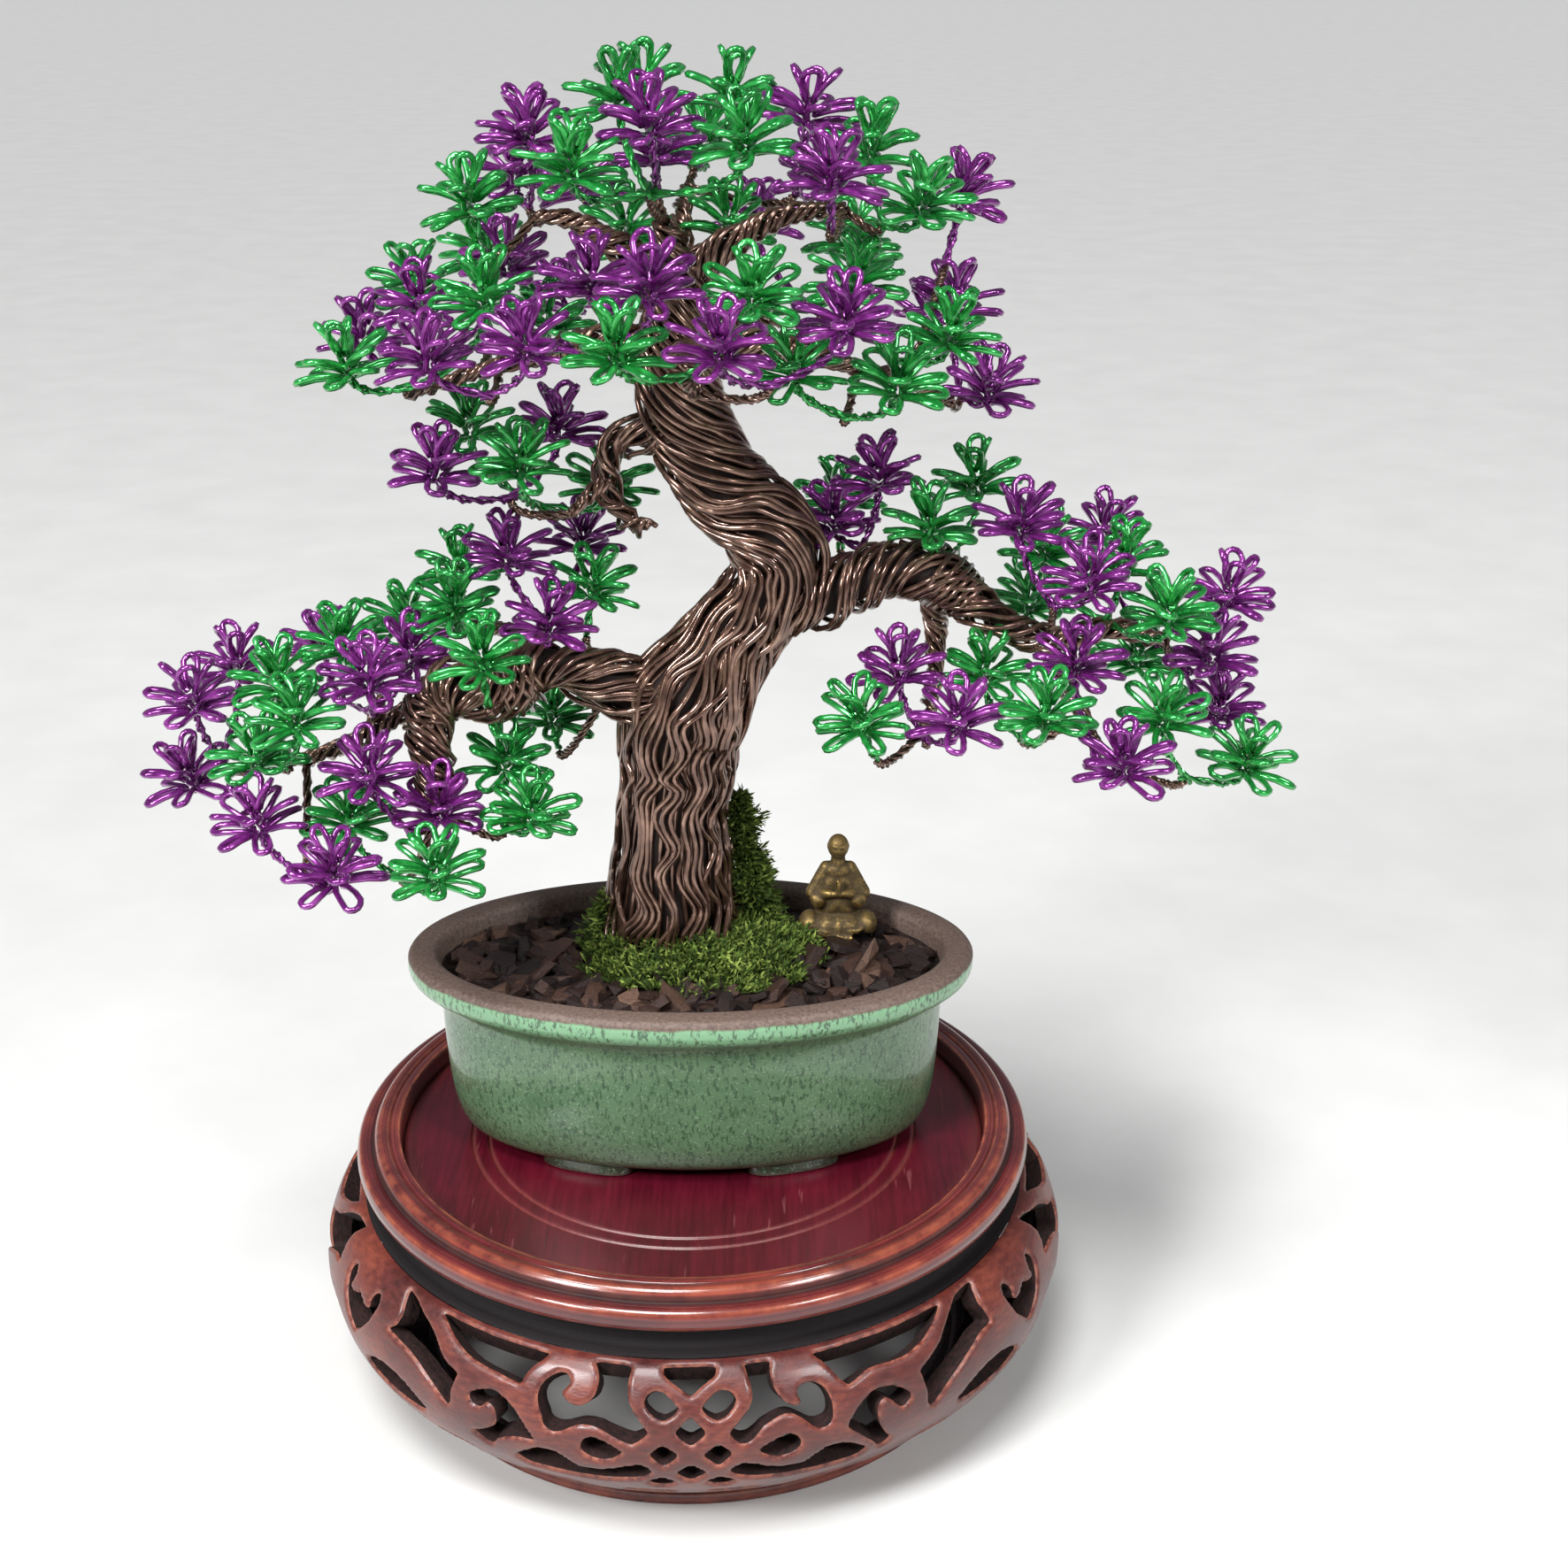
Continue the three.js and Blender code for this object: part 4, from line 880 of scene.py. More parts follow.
def planned_sprays(blooms):
    """Each spray's twig, from the nearest limb to the hub where its stems part."""
    sprays = []
    for k, (name, colour, *_) in enumerate(SPRAYS):
        own = [bloom for bloom in blooms if bloom["spray"] == k]
        middle = sum(bloom["place"] for bloom in own) / len(own)
        axis = unit(sum(bloom["axis"] for bloom in own))
        root = nearest_on_limbs(middle - axis * 10, name.split("_")[0])
        hub = (middle - axis * 8) * 0.88 + root * 0.12
        facing = unit(middle - hub)
        end = hub - facing * 1.3
        bend = end - facing * min(4.0, 0.35 * np.linalg.norm(end - root))
        sprays.append({"name": f"{name}_{colour}", "colour": colour, "own": own, "root": root, "bend": bend,
                       "end": end, "hub": hub})
    return sprays


def bent(start, bend, end, steps):
    """Points along a curve that leaves its start and reaches its end towards the bend."""
    t = np.linspace(0, 1, steps)[:, None]
    return (1 - t) ** 2 * start + 2 * t * (1 - t) * bend + t ** 2 * end


# Tree pieces

def make_trunk(copper, shaded_core):
    piece = Piece()
    add_bundle(piece, TRUNK, TRUNK_LAY, seed=3, spacing=1.3, size=4, gap=TRUNK_GAP, relief=0.7, fray=0.2,
               flare=4.5)
    inner = [(x, y, z, radius - 1.7) for x, y, z, radius in TRUNK]
    add_bundle(piece, inner, TRUNK_LAY, seed=9, spacing=2.6, pitch=2.2, relief=0.3)
    piece.make("trunk", [copper, shaded_core], ["wire_tree"])


def make_limbs(copper, shaded_core):
    piece = Piece()
    for k, (name, path) in enumerate(LIMBS.items()):
        strands = STOUT_STRANDS if path[0][3] > STOUT_FROM else THIN_STRANDS
        whole = LIMB_ROOTS.get(name, []) + path
        add_bundle(piece, whole, LIMB_LAYS.get(name, THIN_LAY), seed=20 + k, **strands)
    for seed, (name, begin, end, turns) in enumerate(WRAPS):
        add_winding(piece, LIMBS[name], begin, end, turns, seed)
    piece.make("limbs", [copper, shaded_core], [])


def make_twigs(sprays, copper):
    piece = Piece()
    for k, spray in enumerate(sprays):
        length = np.linalg.norm(spray["end"] - spray["root"])
        line = bent(spray["root"], spray["bend"], spray["end"], max(6, int(length / 1.1)))
        add_twisted(piece, line, 3, STEM_WIRE_RADIUS, max(1.0, length / 5.5), 0.9 * k, taper=0.1)
    piece.make("twigs", [copper], [])


def loop_outline(reach, tip):
    """One loop, flat: out along one side, round the tip and back, as [outwards, sideways]."""
    length = reach - tip
    side = [(LOOP_ROOT + share * (length - LOOP_ROOT), half_width)
            for share, half_width in ((0, 0.66), (0.28, 0.78 * tip), (0.66, 0.95 * tip))]
    out = [(u, -v) for u, v in side]
    turn = np.radians([-80, -48, -16, 16, 48, 80])
    arc = [(length + tip * math.cos(a), tip * math.sin(a)) for a in turn]
    return np.array(out + arc + side[::-1])


def bloom_line(bloom, draw):
    """The middle of the one wire that a bloom is bent from, loop after loop and tier after tier."""
    axis = bloom["upright"]
    across = unit(np.cross([0.0, 1.0, 0.0], axis))
    frame_of_bloom = np.array([across, np.cross(axis, across), axis])
    points = []
    azimuth = bloom["spin"]

    def put(radial, sideways, height, here):
        local_across = radial * np.cos(here) - sideways * np.sin(here)
        local_forward = radial * np.sin(here) + sideways * np.cos(here)
        local = np.stack([local_across, local_forward, height], -1)
        points.append(bloom["place"] + local @ frame_of_bloom)

    for loops, raised, level, reach in TIERS:
        step = 2 * math.pi / loops
        for _ in range(loops):
            length = BLOOM_RADIUS * reach * draw.uniform(0.92, 1.04)
            outline = loop_outline(length, LOOP_TIP * draw.uniform(0.88, 1.12))
            tilt = math.radians(raised + draw.uniform(-8, 8))
            here = azimuth + draw.uniform(-0.1, 0.1)
            u, v = outline.T
            arch = 0.8 * np.sin(np.pi * u / BLOOM_RADIUS)
            radial = u * math.cos(tilt) - arch * math.sin(tilt)
            height = u * math.sin(tilt) + arch * math.cos(tilt) + level
            put(radial, v, height + v * math.sin(draw.uniform(-0.35, 0.35)), here)
            inner = np.array([LOOP_ROOT - 0.75])
            put(inner, np.zeros(1), inner * math.tan(tilt) + level + 0.3, azimuth + step / 2)
            azimuth += step
        azimuth += 0.5
    return np.concatenate(points)


def make_sprays(sprays, wires):
    draw = random.Random(41)
    for spray in sprays:
        piece = Piece()
        name, colour, hub = spray["name"], spray["colour"], spray["hub"]
        for bloom in spray["own"]:
            line = bloom_line(bloom, draw)
            add_wire(piece, line, BLOOM_WIRE_RADIUS, bloom["axis"], sides=THIN_WIRE_SIDES)
            foot = bloom["place"] - bloom["axis"] * 1.2
            length = np.linalg.norm(foot - hub)
            bend = foot - bloom["axis"] * 0.4 * length
            stem = bent(hub - (foot - hub) * 0.12, bend, foot, 12)
            add_twisted(piece, stem, 2, STEM_WIRE_RADIUS, max(1.0, length / 6), draw.uniform(0, 6))
        piece.make(f"{name}_blooms", [wires[colour]], [name])


# Bed and moss

MOSS_CENTRE = (0.5, 3)
MOSS_RADIUS = 23.5
MOSS_RINGS = 16
MOSS_SIDES = 56
MOSS_HEIGHTS = [(0.0, 6.4), (0.5, 5.4), (0.75, 3.3), (0.92, 1.5), (1.0, 0.2)]
MOUND_TUFTS = 3600

# Moss on the trunk's sides as [x, y, z, radius], how many tufts it has, and the way that they face
MOSS_CLIMB = [
    (14, 9, 90, 5.4), (12.5, 10, 97, 3.6), (11.5, 9, 103, 4.0), (9.5, 9.5, 109, 2.4), (9.6, 9, 114, 3.0),
    (9, 9, 120, 1.3),
]
MOSS_LEFT = [(-17, 5, 89, 4.4), (-16.5, 5, 94, 2.8), (-16, 5.5, 99, 1.2)]
MOSS_STREAKS = ((MOSS_CLIMB, 1500, -0.4), (MOSS_LEFT, 500, -2.6))


def moss_point(angle, share):
    """A point of the mound's face, at a share of the way from its middle to its lobed edge."""
    edge = Vector((1.6 * math.cos(angle), 1.6 * math.sin(angle), 5.0))
    lobe = 1 + 0.08 * math.cos(angle + 0.35) - 0.07 * math.sin(3 * angle) + 0.16 * noise.noise(edge)
    reach = MOSS_RADIUS * share * lobe
    x = MOSS_CENTRE[0] + reach * math.cos(angle)
    y = MOSS_CENTRE[1] + 0.86 * reach * math.sin(angle)
    lumps = 2.2 * noise.noise(Vector((x / 5, y / 5, 3.0)))
    lumps += 0.9 * noise.noise(Vector((x / 1.8, y / 1.8, 9.0)))
    height = np.interp(share, *zip(*MOSS_HEIGHTS))
    return np.array([x, y, BED_TOP + 0.1 + max(0.0, height + lumps * min(1.0, height / 2))])


def mound_tufts(draw):
    """Where tufts stand on the mound and which way each points. They thin out at its edge."""
    tufts = []
    while len(tufts) < MOUND_TUFTS:
        angle = draw.uniform(0, 2 * math.pi)
        share = math.sqrt(draw.uniform(0.1, 1.12))
        thin = noise.noise(Vector((7 * math.cos(angle), 7 * math.sin(angle), 4 * share)))
        if share > 0.86 and draw.uniform(-0.3, 0.5) > thin + (1 - share) * 2.5:
            continue
        spot = moss_point(angle, min(share, 1.0))
        spot[:2] += (spot[:2] - MOSS_CENTRE) * max(0.0, share - 1.0)
        tufts.append((spot, np.array([0.5 * math.cos(angle), 0.5 * math.sin(angle), 1.0])))
    return tufts


def streak_tufts(climb, count, facing, draw):
    """Where tufts stand on moss that climbs the trunk, and which way each points."""
    tufts = []
    for _ in range(count):
        k = draw.randrange(len(climb))
        angle = facing + draw.uniform(-2, 2)
        out = np.array([math.cos(angle), math.sin(angle), draw.uniform(-0.2, 0.5)])
        swell = 0.85 + 1.1 * noise.noise(Vector((k / 2.2, 1.5 * angle, 7.0)))
        tufts.append((climb[k, :3] + out * climb[k, 3] * swell * draw.uniform(0.6, 1.1), out))
    return tufts


def make_moss(leaf, ground):
    draw = random.Random(8)
    piece = Piece()
    shares = 1 - np.arange(MOSS_RINGS) / MOSS_RINGS
    mound = [moss_point(angle, share) for share in shares for angle in angles_round(MOSS_SIDES)]
    piece.add(mound, grid_faces(MOSS_RINGS, MOSS_SIDES), 1)
    tufts = mound_tufts(draw)
    for path, count, facing in MOSS_STREAKS:
        climb, _ = even_path(path, 1.2)
        first, _ = carried_frames(climb[:, :3])
        add_wire(piece, climb[:, :3], climb[:, 3] * 0.5, first, sides=12, mark=1)
        tufts += streak_tufts(climb, count, facing, draw)
    for spot, out in tufts:
        add_moss_tuft(piece, spot, out, draw)
    piece.make("moss_tufts", [leaf, ground], ["moss"], smooth=False)


def add_moss_tuft(piece, spot, out, draw):
    """Three narrow bent leaves from one root."""
    out = unit(out)
    for _ in range(3):
        way = unit(out + [draw.uniform(-1.2, 1.2), draw.uniform(-1.2, 1.2), draw.uniform(-0.6, 0.7)])
        side = unit(np.cross(way, [draw.uniform(-1, 1), draw.uniform(-1, 1), 0.3]))
        length = draw.uniform(0.9, 3.2)
        width = draw.uniform(0.15, 0.34)
        bend = out * length * 0.25
        waist = spot + way * length * 0.55
        points = [spot - side * width * 0.6, spot + side * width * 0.6,
                  waist + side * width + bend, waist - side * width + bend, spot + way * length + bend * 0.4]
        piece.add(points, [np.array([[0, 1, 2, 3]]), np.array([[3, 2, 4]])])


# The bed of chips: how many lie in it, its plain ground, and the half sizes of what keeps them away
CHIPS = 300
BED_RINGS = 12
BED_SIDES = 64
BED_EDGE = POT_HALF_WIDTH - 6.6
UNDER_MOSS = (17, 15)
UNDER_FIGURE = 8


def make_bark_bed(chip, ground):
    draw = random.Random(19)
    piece = Piece()
    points = []
    for share in 1 - np.arange(BED_RINGS) / BED_RINGS:
        for angle in angles_round(BED_SIDES):
            x = (BED_EDGE + POT_STRETCH) * share * math.cos(angle)
            y = BED_EDGE * share * math.sin(angle)
            points.append((x, y, BED_TOP - 1.2 + 1.2 * noise.noise(Vector((x / 5, y / 5, 0.0)))))
    piece.add(points, grid_faces(BED_RINGS, BED_SIDES), 1)
    placed = 0
    while placed < CHIPS:
        angle = draw.uniform(0, 2 * math.pi)
        share = math.sqrt(draw.uniform(0.0, 1.0))
        x = (BED_EDGE + POT_STRETCH - 2.5) * share * math.cos(angle)
        y = (BED_EDGE - 2.5) * share * math.sin(angle)
        from_moss = math.hypot((x - MOSS_CENTRE[0]) / UNDER_MOSS[0], (y - MOSS_CENTRE[1]) / UNDER_MOSS[1])
        from_figure = math.hypot(x - FIGURE_PLACE[0], y - FIGURE_PLACE[1])
        if from_moss < 1 or from_figure < UNDER_FIGURE:
            continue
        add_chip(piece, (x, y, BED_TOP - 1.0 + draw.uniform(-0.8, 1.6)), draw, share)
        placed += 1
    piece.make("bark_chips", [chip, ground], ["bark_bed"], smooth=False)


def add_chip(piece, place, draw, share):
    """A broken flake of bark: two ragged outlines, one over the other, joined by flat faces."""
    length = draw.uniform(2.6, 6.4) * (0.7 if share > 0.86 else 1.0)
    width = length * draw.uniform(0.45, 0.8)
    thick = draw.uniform(0.5, 1.6)
    turn = draw.uniform(0, 2 * math.pi)
    tilt = math.radians(draw.gauss(0, 25))
    corners = draw.choice((4, 5, 5, 6))
    mesh = bmesh.new()
    for level in (-1, 1):
        for k in range(corners):
            angle = 2 * math.pi * (k + draw.uniform(-0.25, 0.25)) / corners
            x = length * math.cos(angle) * draw.uniform(0.75, 1.1)
            y = width * math.sin(angle) * draw.uniform(0.75, 1.1)
            z = thick * level * draw.uniform(0.5, 1.1)
            lifted = (x * math.cos(tilt) - z * math.sin(tilt), y, x * math.sin(tilt) + z * math.cos(tilt))
            turned = (lifted[0] * math.cos(turn) - lifted[1] * math.sin(turn),
                      lifted[0] * math.sin(turn) + lifted[1] * math.cos(turn), lifted[2])
            mesh.verts.new([a + b for a, b in zip(place, turned)])
    hull = bmesh.ops.convex_hull(mesh, input=mesh.verts)
    loose = [item for item in hull["geom_interior"] if isinstance(item, bmesh.types.BMVert)]
    bmesh.ops.delete(mesh, geom=loose, context="VERTS")
    mesh.verts.index_update()
    points = [tuple(vertex.co) for vertex in mesh.verts]
    faces = [[vertex.index for vertex in face.verts] for face in mesh.faces if len(face.verts) == 3]
    mesh.free()
    piece.add(points, np.array(faces))


# Figure

FIGURE_PLACE = (30.5, 12)
FIGURE_SKIN = 0.26
ROBE_TOP = 15
CHIN = 18
FACE_FRONT = -0.8

# Ellipsoids, as middle and half sizes, from the middle of the seat. One that is off the middle is made again
# on the other side.
FIGURE_LUMPS = [
    ((0, -0.4, 2.8), (7.6, 4.8, 2.8)), ((-5.9, -1.4, 3.0), (2.6, 3.0, 2.5)),
    ((0, 0.4, 7.6), (5.3, 3.4, 5.0)), ((0, 0.3, 11.6), (4.5, 2.7, 3.6)), ((0, 0.1, 14.4), (3.5, 2.2, 2.2)),
    ((0, -0.2, 19.9), (2.25, 2.35, 2.7)), ((0, -4.1, 12.2), (0.62, 0.7, 1.9)),
    ((0, -2.3, 19.8), (0.27, 0.3, 0.5)), ((-2.1, 0.1, 19.8), (0.26, 0.4, 0.8)),
    ((-4.3, -2.0, 8.6), (1.7, 1.7, 1.8)),
]

# Rounded limbs, as start, end, and the radius at each: arms on both sides, then neck and legs
FIGURE_ARMS = [
    ((-2.4, 0.2, 14.8), (-5.0, -0.8, 9.6), 1.6, 1.75), ((-4.9, -0.9, 9.6), (-0.8, -3.9, 10.6), 1.35, 0.85),
]
FIGURE_LIMBS = [
    ((0, 0, 15.4), (0, -0.1, 18.4), 1.75, 1.45), ((-7.2, -2.2, 4.0), (-4.4, -4.4, 1.7), 0.8, 0.8),
    ((-4.4, -4.4, 1.7), (2.6, -5.2, 0.9), 0.8, 0.7), ((7.2, -2.2, 4.2), (4.2, -4.4, 2.4), 0.8, 0.8),
    ((4.2, -4.4, 2.4), (-2.4, -4.7, 2.2), 0.8, 0.6), ((-2.4, -4.7, 2.2), (-6.2, -3.4, 3.6), 0.6, 0.6),
]
LIMB_BALLS = 9


def on_side(point, side):
    return Vector((point[0] * side, point[1], point[2]))


def add_limb(mesh, start, end, wide, narrow):
    """A limb as a close row of balls."""
    for t in np.linspace(0, 1, LIMB_BALLS):
        ball = bmesh.ops.create_icosphere(mesh, subdivisions=2, radius=wide + (narrow - wide) * t)
        for vertex in ball["verts"]:
            vertex.co += start.lerp(end, t)


def make_figure(brass):
    """A small seated figure with joined palms, cast in brass."""
    low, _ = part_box("seated_figure")
    place = Vector((FIGURE_PLACE[0], FIGURE_PLACE[1], low.z / MM))
    mesh = bmesh.new()
    for middle, half in FIGURE_LUMPS:
        for side in (1, -1) if middle[0] else (1,):
            made = bmesh.ops.create_icosphere(mesh, subdivisions=3, radius=1.0)
            for vertex in made["verts"]:
                vertex.co = vertex.co * Vector(half) + on_side(middle, side)
    for start, end, wide, narrow in FIGURE_ARMS:
        for side in (1, -1):
            add_limb(mesh, on_side(start, side), on_side(end, side), wide, narrow)
    for start, end, wide, narrow in FIGURE_LIMBS:
        add_limb(mesh, Vector(start), Vector(end), wide, narrow)
    for vertex in mesh.verts:
        vertex.co.z = max(vertex.co.z, 0.02)
        vertex.co = (vertex.co + place) * MM + Vector(STAND_AXIS)
    data = bpy.data.meshes.new("seated_figure_brass")
    mesh.to_mesh(data)
    mesh.free()
    figure = in_scene("seated_figure_brass", data)
    remesh = figure.modifiers.new("skin", "REMESH")
    remesh.mode = "VOXEL"
    remesh.voxel_size = FIGURE_SKIN * MM
    figure.modifiers.new("soften", "SMOOTH").iterations = 3
    applied(figure)
    carve_figure(figure.data, place)
    figure.data.materials.clear()
    figure.data.materials.append(brass)
    figure.data.shade_smooth()
    settle(figure, ["seated_figure"])


def applied(piece):
    """Replaces an object's mesh by what its modifiers make of it."""
    graph = bpy.context.evaluated_depsgraph_get()
    finished = bpy.data.meshes.new_from_object(piece.evaluated_get(graph))
    piece.modifiers.clear()
    piece.data = finished


def carve_figure(mesh, place):
    """Folds of the robe, closed eyes and a quiet mouth, cut a fraction of a millimetre deep."""
    origin = Vector(STAND_AXIS) + place * MM
    mesh.update()
    normals = [vertex.normal.copy() for vertex in mesh.vertices]
    for vertex, normal in zip(mesh.vertices, normals):
        x, y, z = (vertex.co - origin) / MM
        cut = 0.0
        if z < ROBE_TOP:
            drape = math.sin(1.7 * abs(x) + 0.9 * z + 0.8 * math.sin(0.9 * z))
            cut += 0.12 * drape * min(1.0, (ROBE_TOP - z) / 3)
        if z > CHIN and y < FACE_FRONT:
            eyes = bell(abs(x), 0.78, 0.42) * bell(z, 20.1 - 0.15 * abs(x), 0.13)
            mouth = bell(x, 0, 0.5) * bell(z, 18.7, 0.11)
            brows = bell(abs(x), 0.8, 0.5) * bell(z, 20.6, 0.16)
            cut += 0.12 * brows - 0.17 * eyes - 0.12 * mouth
        vertex.co += normal * cut * MM


# Pot

def smooth_profile(profile, steps):
    """A curve through profile points given as [inset or radius, height]."""
    path = [(point[0], 0, point[1], 1) for point in profile]
    return smooth_path(path, steps)[:, [0, 2]]


def add_oval(piece, profile, sides, stretch=0.0, closed=False, **drawn):
    """A turned form, made oval by the same added length all along its long axis."""
    profile = np.asarray(profile, float)
    angles = angles_round(sides)
    x = (profile[:, :1] + stretch) * np.cos(angles)
    y = profile[:, :1] * np.sin(angles)
    z = np.broadcast_to(profile[:, 1:2], x.shape)
    drawn = {name: np.repeat(values, sides) for name, values in drawn.items()}
    piece.add(np.stack([x, y, z], -1), grid_faces(len(profile), sides, closed), **drawn)


# The pot's section as [inset from its widest line, height]
POT_OUTSIDE = [
    (-34, 50.4), (-15.5, 50.3), (-12.6, 50.7), (-10.6, 51.9), (-9.2, 54), (-8.1, 57.6), (-7.4, 62),
    (-6.9, 68), (-6.6, 74), (-6.4, 79.4), (-5.7, 82.2), (-3.4, 84.2), (-1.2, 85.4), (-0.2, 87), (0, 88.8),
]
POT_LIP = [(-0.1, 89.9), (-0.7, 90.7), (-1.8, 91), (-4.4, 91.0), (-5.6, 90.6), (-6.3, 89.6)]
POT_INSIDE = [(-6.6, 86), (-8.5, 78), (-12.5, 66), (-18, 58), (-26, 55.8), (-34, 55.6)]
POT_SIDES = 160
LIP_ROWS_INSIDE = 9

# A foot of the pot: middle, half sizes, slant in radians, sides, and [spread, height] from the panel upwards
FOOT_PLACE = (21, 17.2)
FOOT_HALF = (9.6, 3.4)
FOOT_SLANT = 0.28
FOOT_SIDES = 28
FOOT_LEVELS = [(0.94, PANEL_TOP + 0.1), (1.0, PANEL_TOP + 0.4), (1.02, 50), (1.04, 51.4)]


def make_pot(glaze):
    piece = Piece()
    inside_profile = smooth_profile(POT_INSIDE, 16)
    profile = np.concatenate([smooth_profile(POT_OUTSIDE, 56), smooth_profile(POT_LIP, 18), inside_profile])
    profile[:, 0] = np.maximum(profile[:, 0] + POT_HALF_WIDTH, 0.02)
    inside_rows = len(inside_profile) + LIP_ROWS_INSIDE - 1
    inside = np.arange(len(profile)) > len(profile) - 1 - inside_rows
    add_oval(piece, profile, POT_SIDES, stretch=POT_STRETCH, inside=inside.astype(float))
    for side in (-1, 1):
        for end in (-1, 1):
            add_pot_foot(piece, side, end)
    piece.make("glazed_pot", [glaze], ["pot"])


def rounded(value, power):
    return math.copysign(abs(value) ** power, value)


def add_pot_foot(piece, side, end):
    """A low foot under the pot, with rounded ends."""
    points = []
    slant = -FOOT_SLANT * side * end
    for spread, height in FOOT_LEVELS:
        for angle in angles_round(FOOT_SIDES):
            u = FOOT_HALF[0] * spread * rounded(math.cos(angle), 0.7)
            v = FOOT_HALF[1] * spread * rounded(math.sin(angle), 0.8)
            x = FOOT_PLACE[0] * end + u * math.cos(slant) - v * math.sin(slant)
            y = FOOT_PLACE[1] * side + u * math.sin(slant) + v * math.cos(slant)
            points.append((x, y, height))
    points.append((FOOT_PLACE[0] * end, FOOT_PLACE[1] * side, FOOT_LEVELS[0][1]))
    under = [[(k + 1) % FOOT_SIDES, k, len(points) - 1] for k in range(FOOT_SIDES)]
    piece.add(points, [grid_faces(len(FOOT_LEVELS), FOOT_SIDES), np.array(under)])


# Stand

# The rim's outside as [radius, height], over its beads and down into its cove
RIM_PROFILE = [
    (61.3, 48.9), (61.5, 51.8), (61.7, 52.6), (62.0, 52.9), (62.8, 53.0), (63.6, 52.8), (63.9, 52.5),
    (64.2, 52.9), (65.0, 53.3), (66.0, 53.1), (66.8, 52.4), (67.2, 51.5), (67.3, 50.9), (67.7, 50.8),
    (68.8, 51.1), (69.8, 50.8), (70.4, 50.2), (70.7, 49.2), (70.7, 48.2), (70.4, 47.2), (70.0, 46.8),
    (68.4, 46.6), (67.0, 45.9), (66.4, 44.4), (66.3, 42.6), (66.6, 41.4), (67.4, 40.8), (69.7, 40.45),
]
BASE_PROFILE = [
    (55.6, 3.3), (55.5, 0.2), (55.9, 0), (61.5, 0), (61.9, 0.4), (62.0, 1.6), (61.7, 2.4), (61.0, 2.9),
    (60.2, 3.4),
]
RIM_SIDES = 224
BASE_SIDES = 160
PANEL_SIDES = 192
RIM_TOP = 49.4
RIM_UNDERSIDE = 47.0
# Below COVE_TOP the rim is painted near black, dark lacquer with painted shade; at STEP_RADIUS a groove is
# darkened as painted shade
COVE_TOP = 46.8
STEP_RADIUS = 67.35
GROOVES = (43.4, 46.8)
GROOVE_DEPTH = 0.42
PANEL_WORN_FROM = 57.5

# Sharp edges of the rim that are worn, as [radius, width, how much]
WORN_EDGES = [(61.9, 0.35, 1.0), (64.2, 0.3, 0.7), (66.2, 0.7, 0.7), (70.2, 0.35, 0.8)]


def make_rim(lacquer):
    piece = Piece()
    profile = smooth_profile(RIM_PROFILE, 160)
    radius, height = profile.T
    top = height > RIM_TOP
    wear = sum(share * bell(radius, edge, width) for edge, width, share in WORN_EDGES) * top
    wear += 0.6 * bell(height, RIM_UNDERSIDE, 0.2) * (radius > 69.8)
    # Dark lacquer and painted shade under the beads, and painted shade in the groove at STEP_RADIUS
    cove = 1 / (1 + np.exp((height - COVE_TOP) * 6)) + 0.9 * bell(radius, STEP_RADIUS, 0.3) * top
    add_oval(piece, profile, RIM_SIDES, edge_wear=np.clip(wear, 0, 1), cove=np.clip(cove, 0, 1),
             lathe=length_along(profile))
    # The rim's inner face is painted fully dark, as painted shade
    inner = [RIM_PROFILE[-1], (RIM_PROFILE[0][0], RIM_PROFILE[-1][1]), RIM_PROFILE[0]]
    add_oval(piece, inner, RIM_SIDES // 2, cove=np.ones(3))
    piece.make("turned_rim", [lacquer], ["stand_rim"])


def make_base(lacquer):
    piece = Piece()
    profile = smooth_profile(BASE_PROFILE, 40)
    profile[:, 1] = np.maximum(profile[:, 1], 0)
    wear = 0.6 * bell(profile[:, 0], 61.8, 0.3)
    add_oval(piece, profile, BASE_SIDES, closed=True, edge_wear=wear, lathe=length_along(profile))
    piece.make("turned_base", [lacquer], ["stand_base_ring"])


def make_panel(crimson):
    """The flat top, with two fine turned circles cut in it."""
    piece = Piece()
    radii = np.concatenate([
        np.linspace(0.05, 40, 14), np.linspace(41, 49, 81), np.linspace(51, PANEL_RADIUS, 10)])
    height = np.full(len(radii), PANEL_TOP)
    wear = 0.75 * np.clip((radii - PANEL_WORN_FROM) / 4, 0, 1)
    for groove in GROOVES:
        height -= GROOVE_DEPTH * bell(radii, groove, 0.32)
        wear = np.maximum(wear, bell(radii, groove, 0.5))
    under = [(PANEL_RADIUS, PANEL_TOP - 6), (0.05, PANEL_TOP - 6)]
    profile = np.concatenate([np.stack([radii, height], 1), under])
    add_oval(piece, profile, PANEL_SIDES, edge_wear=np.concatenate([wear, [0, 0]]))
    piece.make("top_panel", [crimson], ["stand_top_panel"])


# The apron's outside, [radius, height], from its lip down to the base
APRON_SECTION = [
    (69.7, 40.2), (71.6, 39.7), (73.9, 37.7), (76.3, 34.3), (77.9, 30.2), (78.4, 26.5), (78.0, 22.4),
    (76.2, 17.2), (72.8, 12.4), (68.4, 8.4), (63.8, 5.0), (62.2, 3.7),
]
APRON_RADIUS = 75.0
APRON_COLUMNS = 780
APRON_ROWS = 76
EDGE_ROUNDING = 0.6

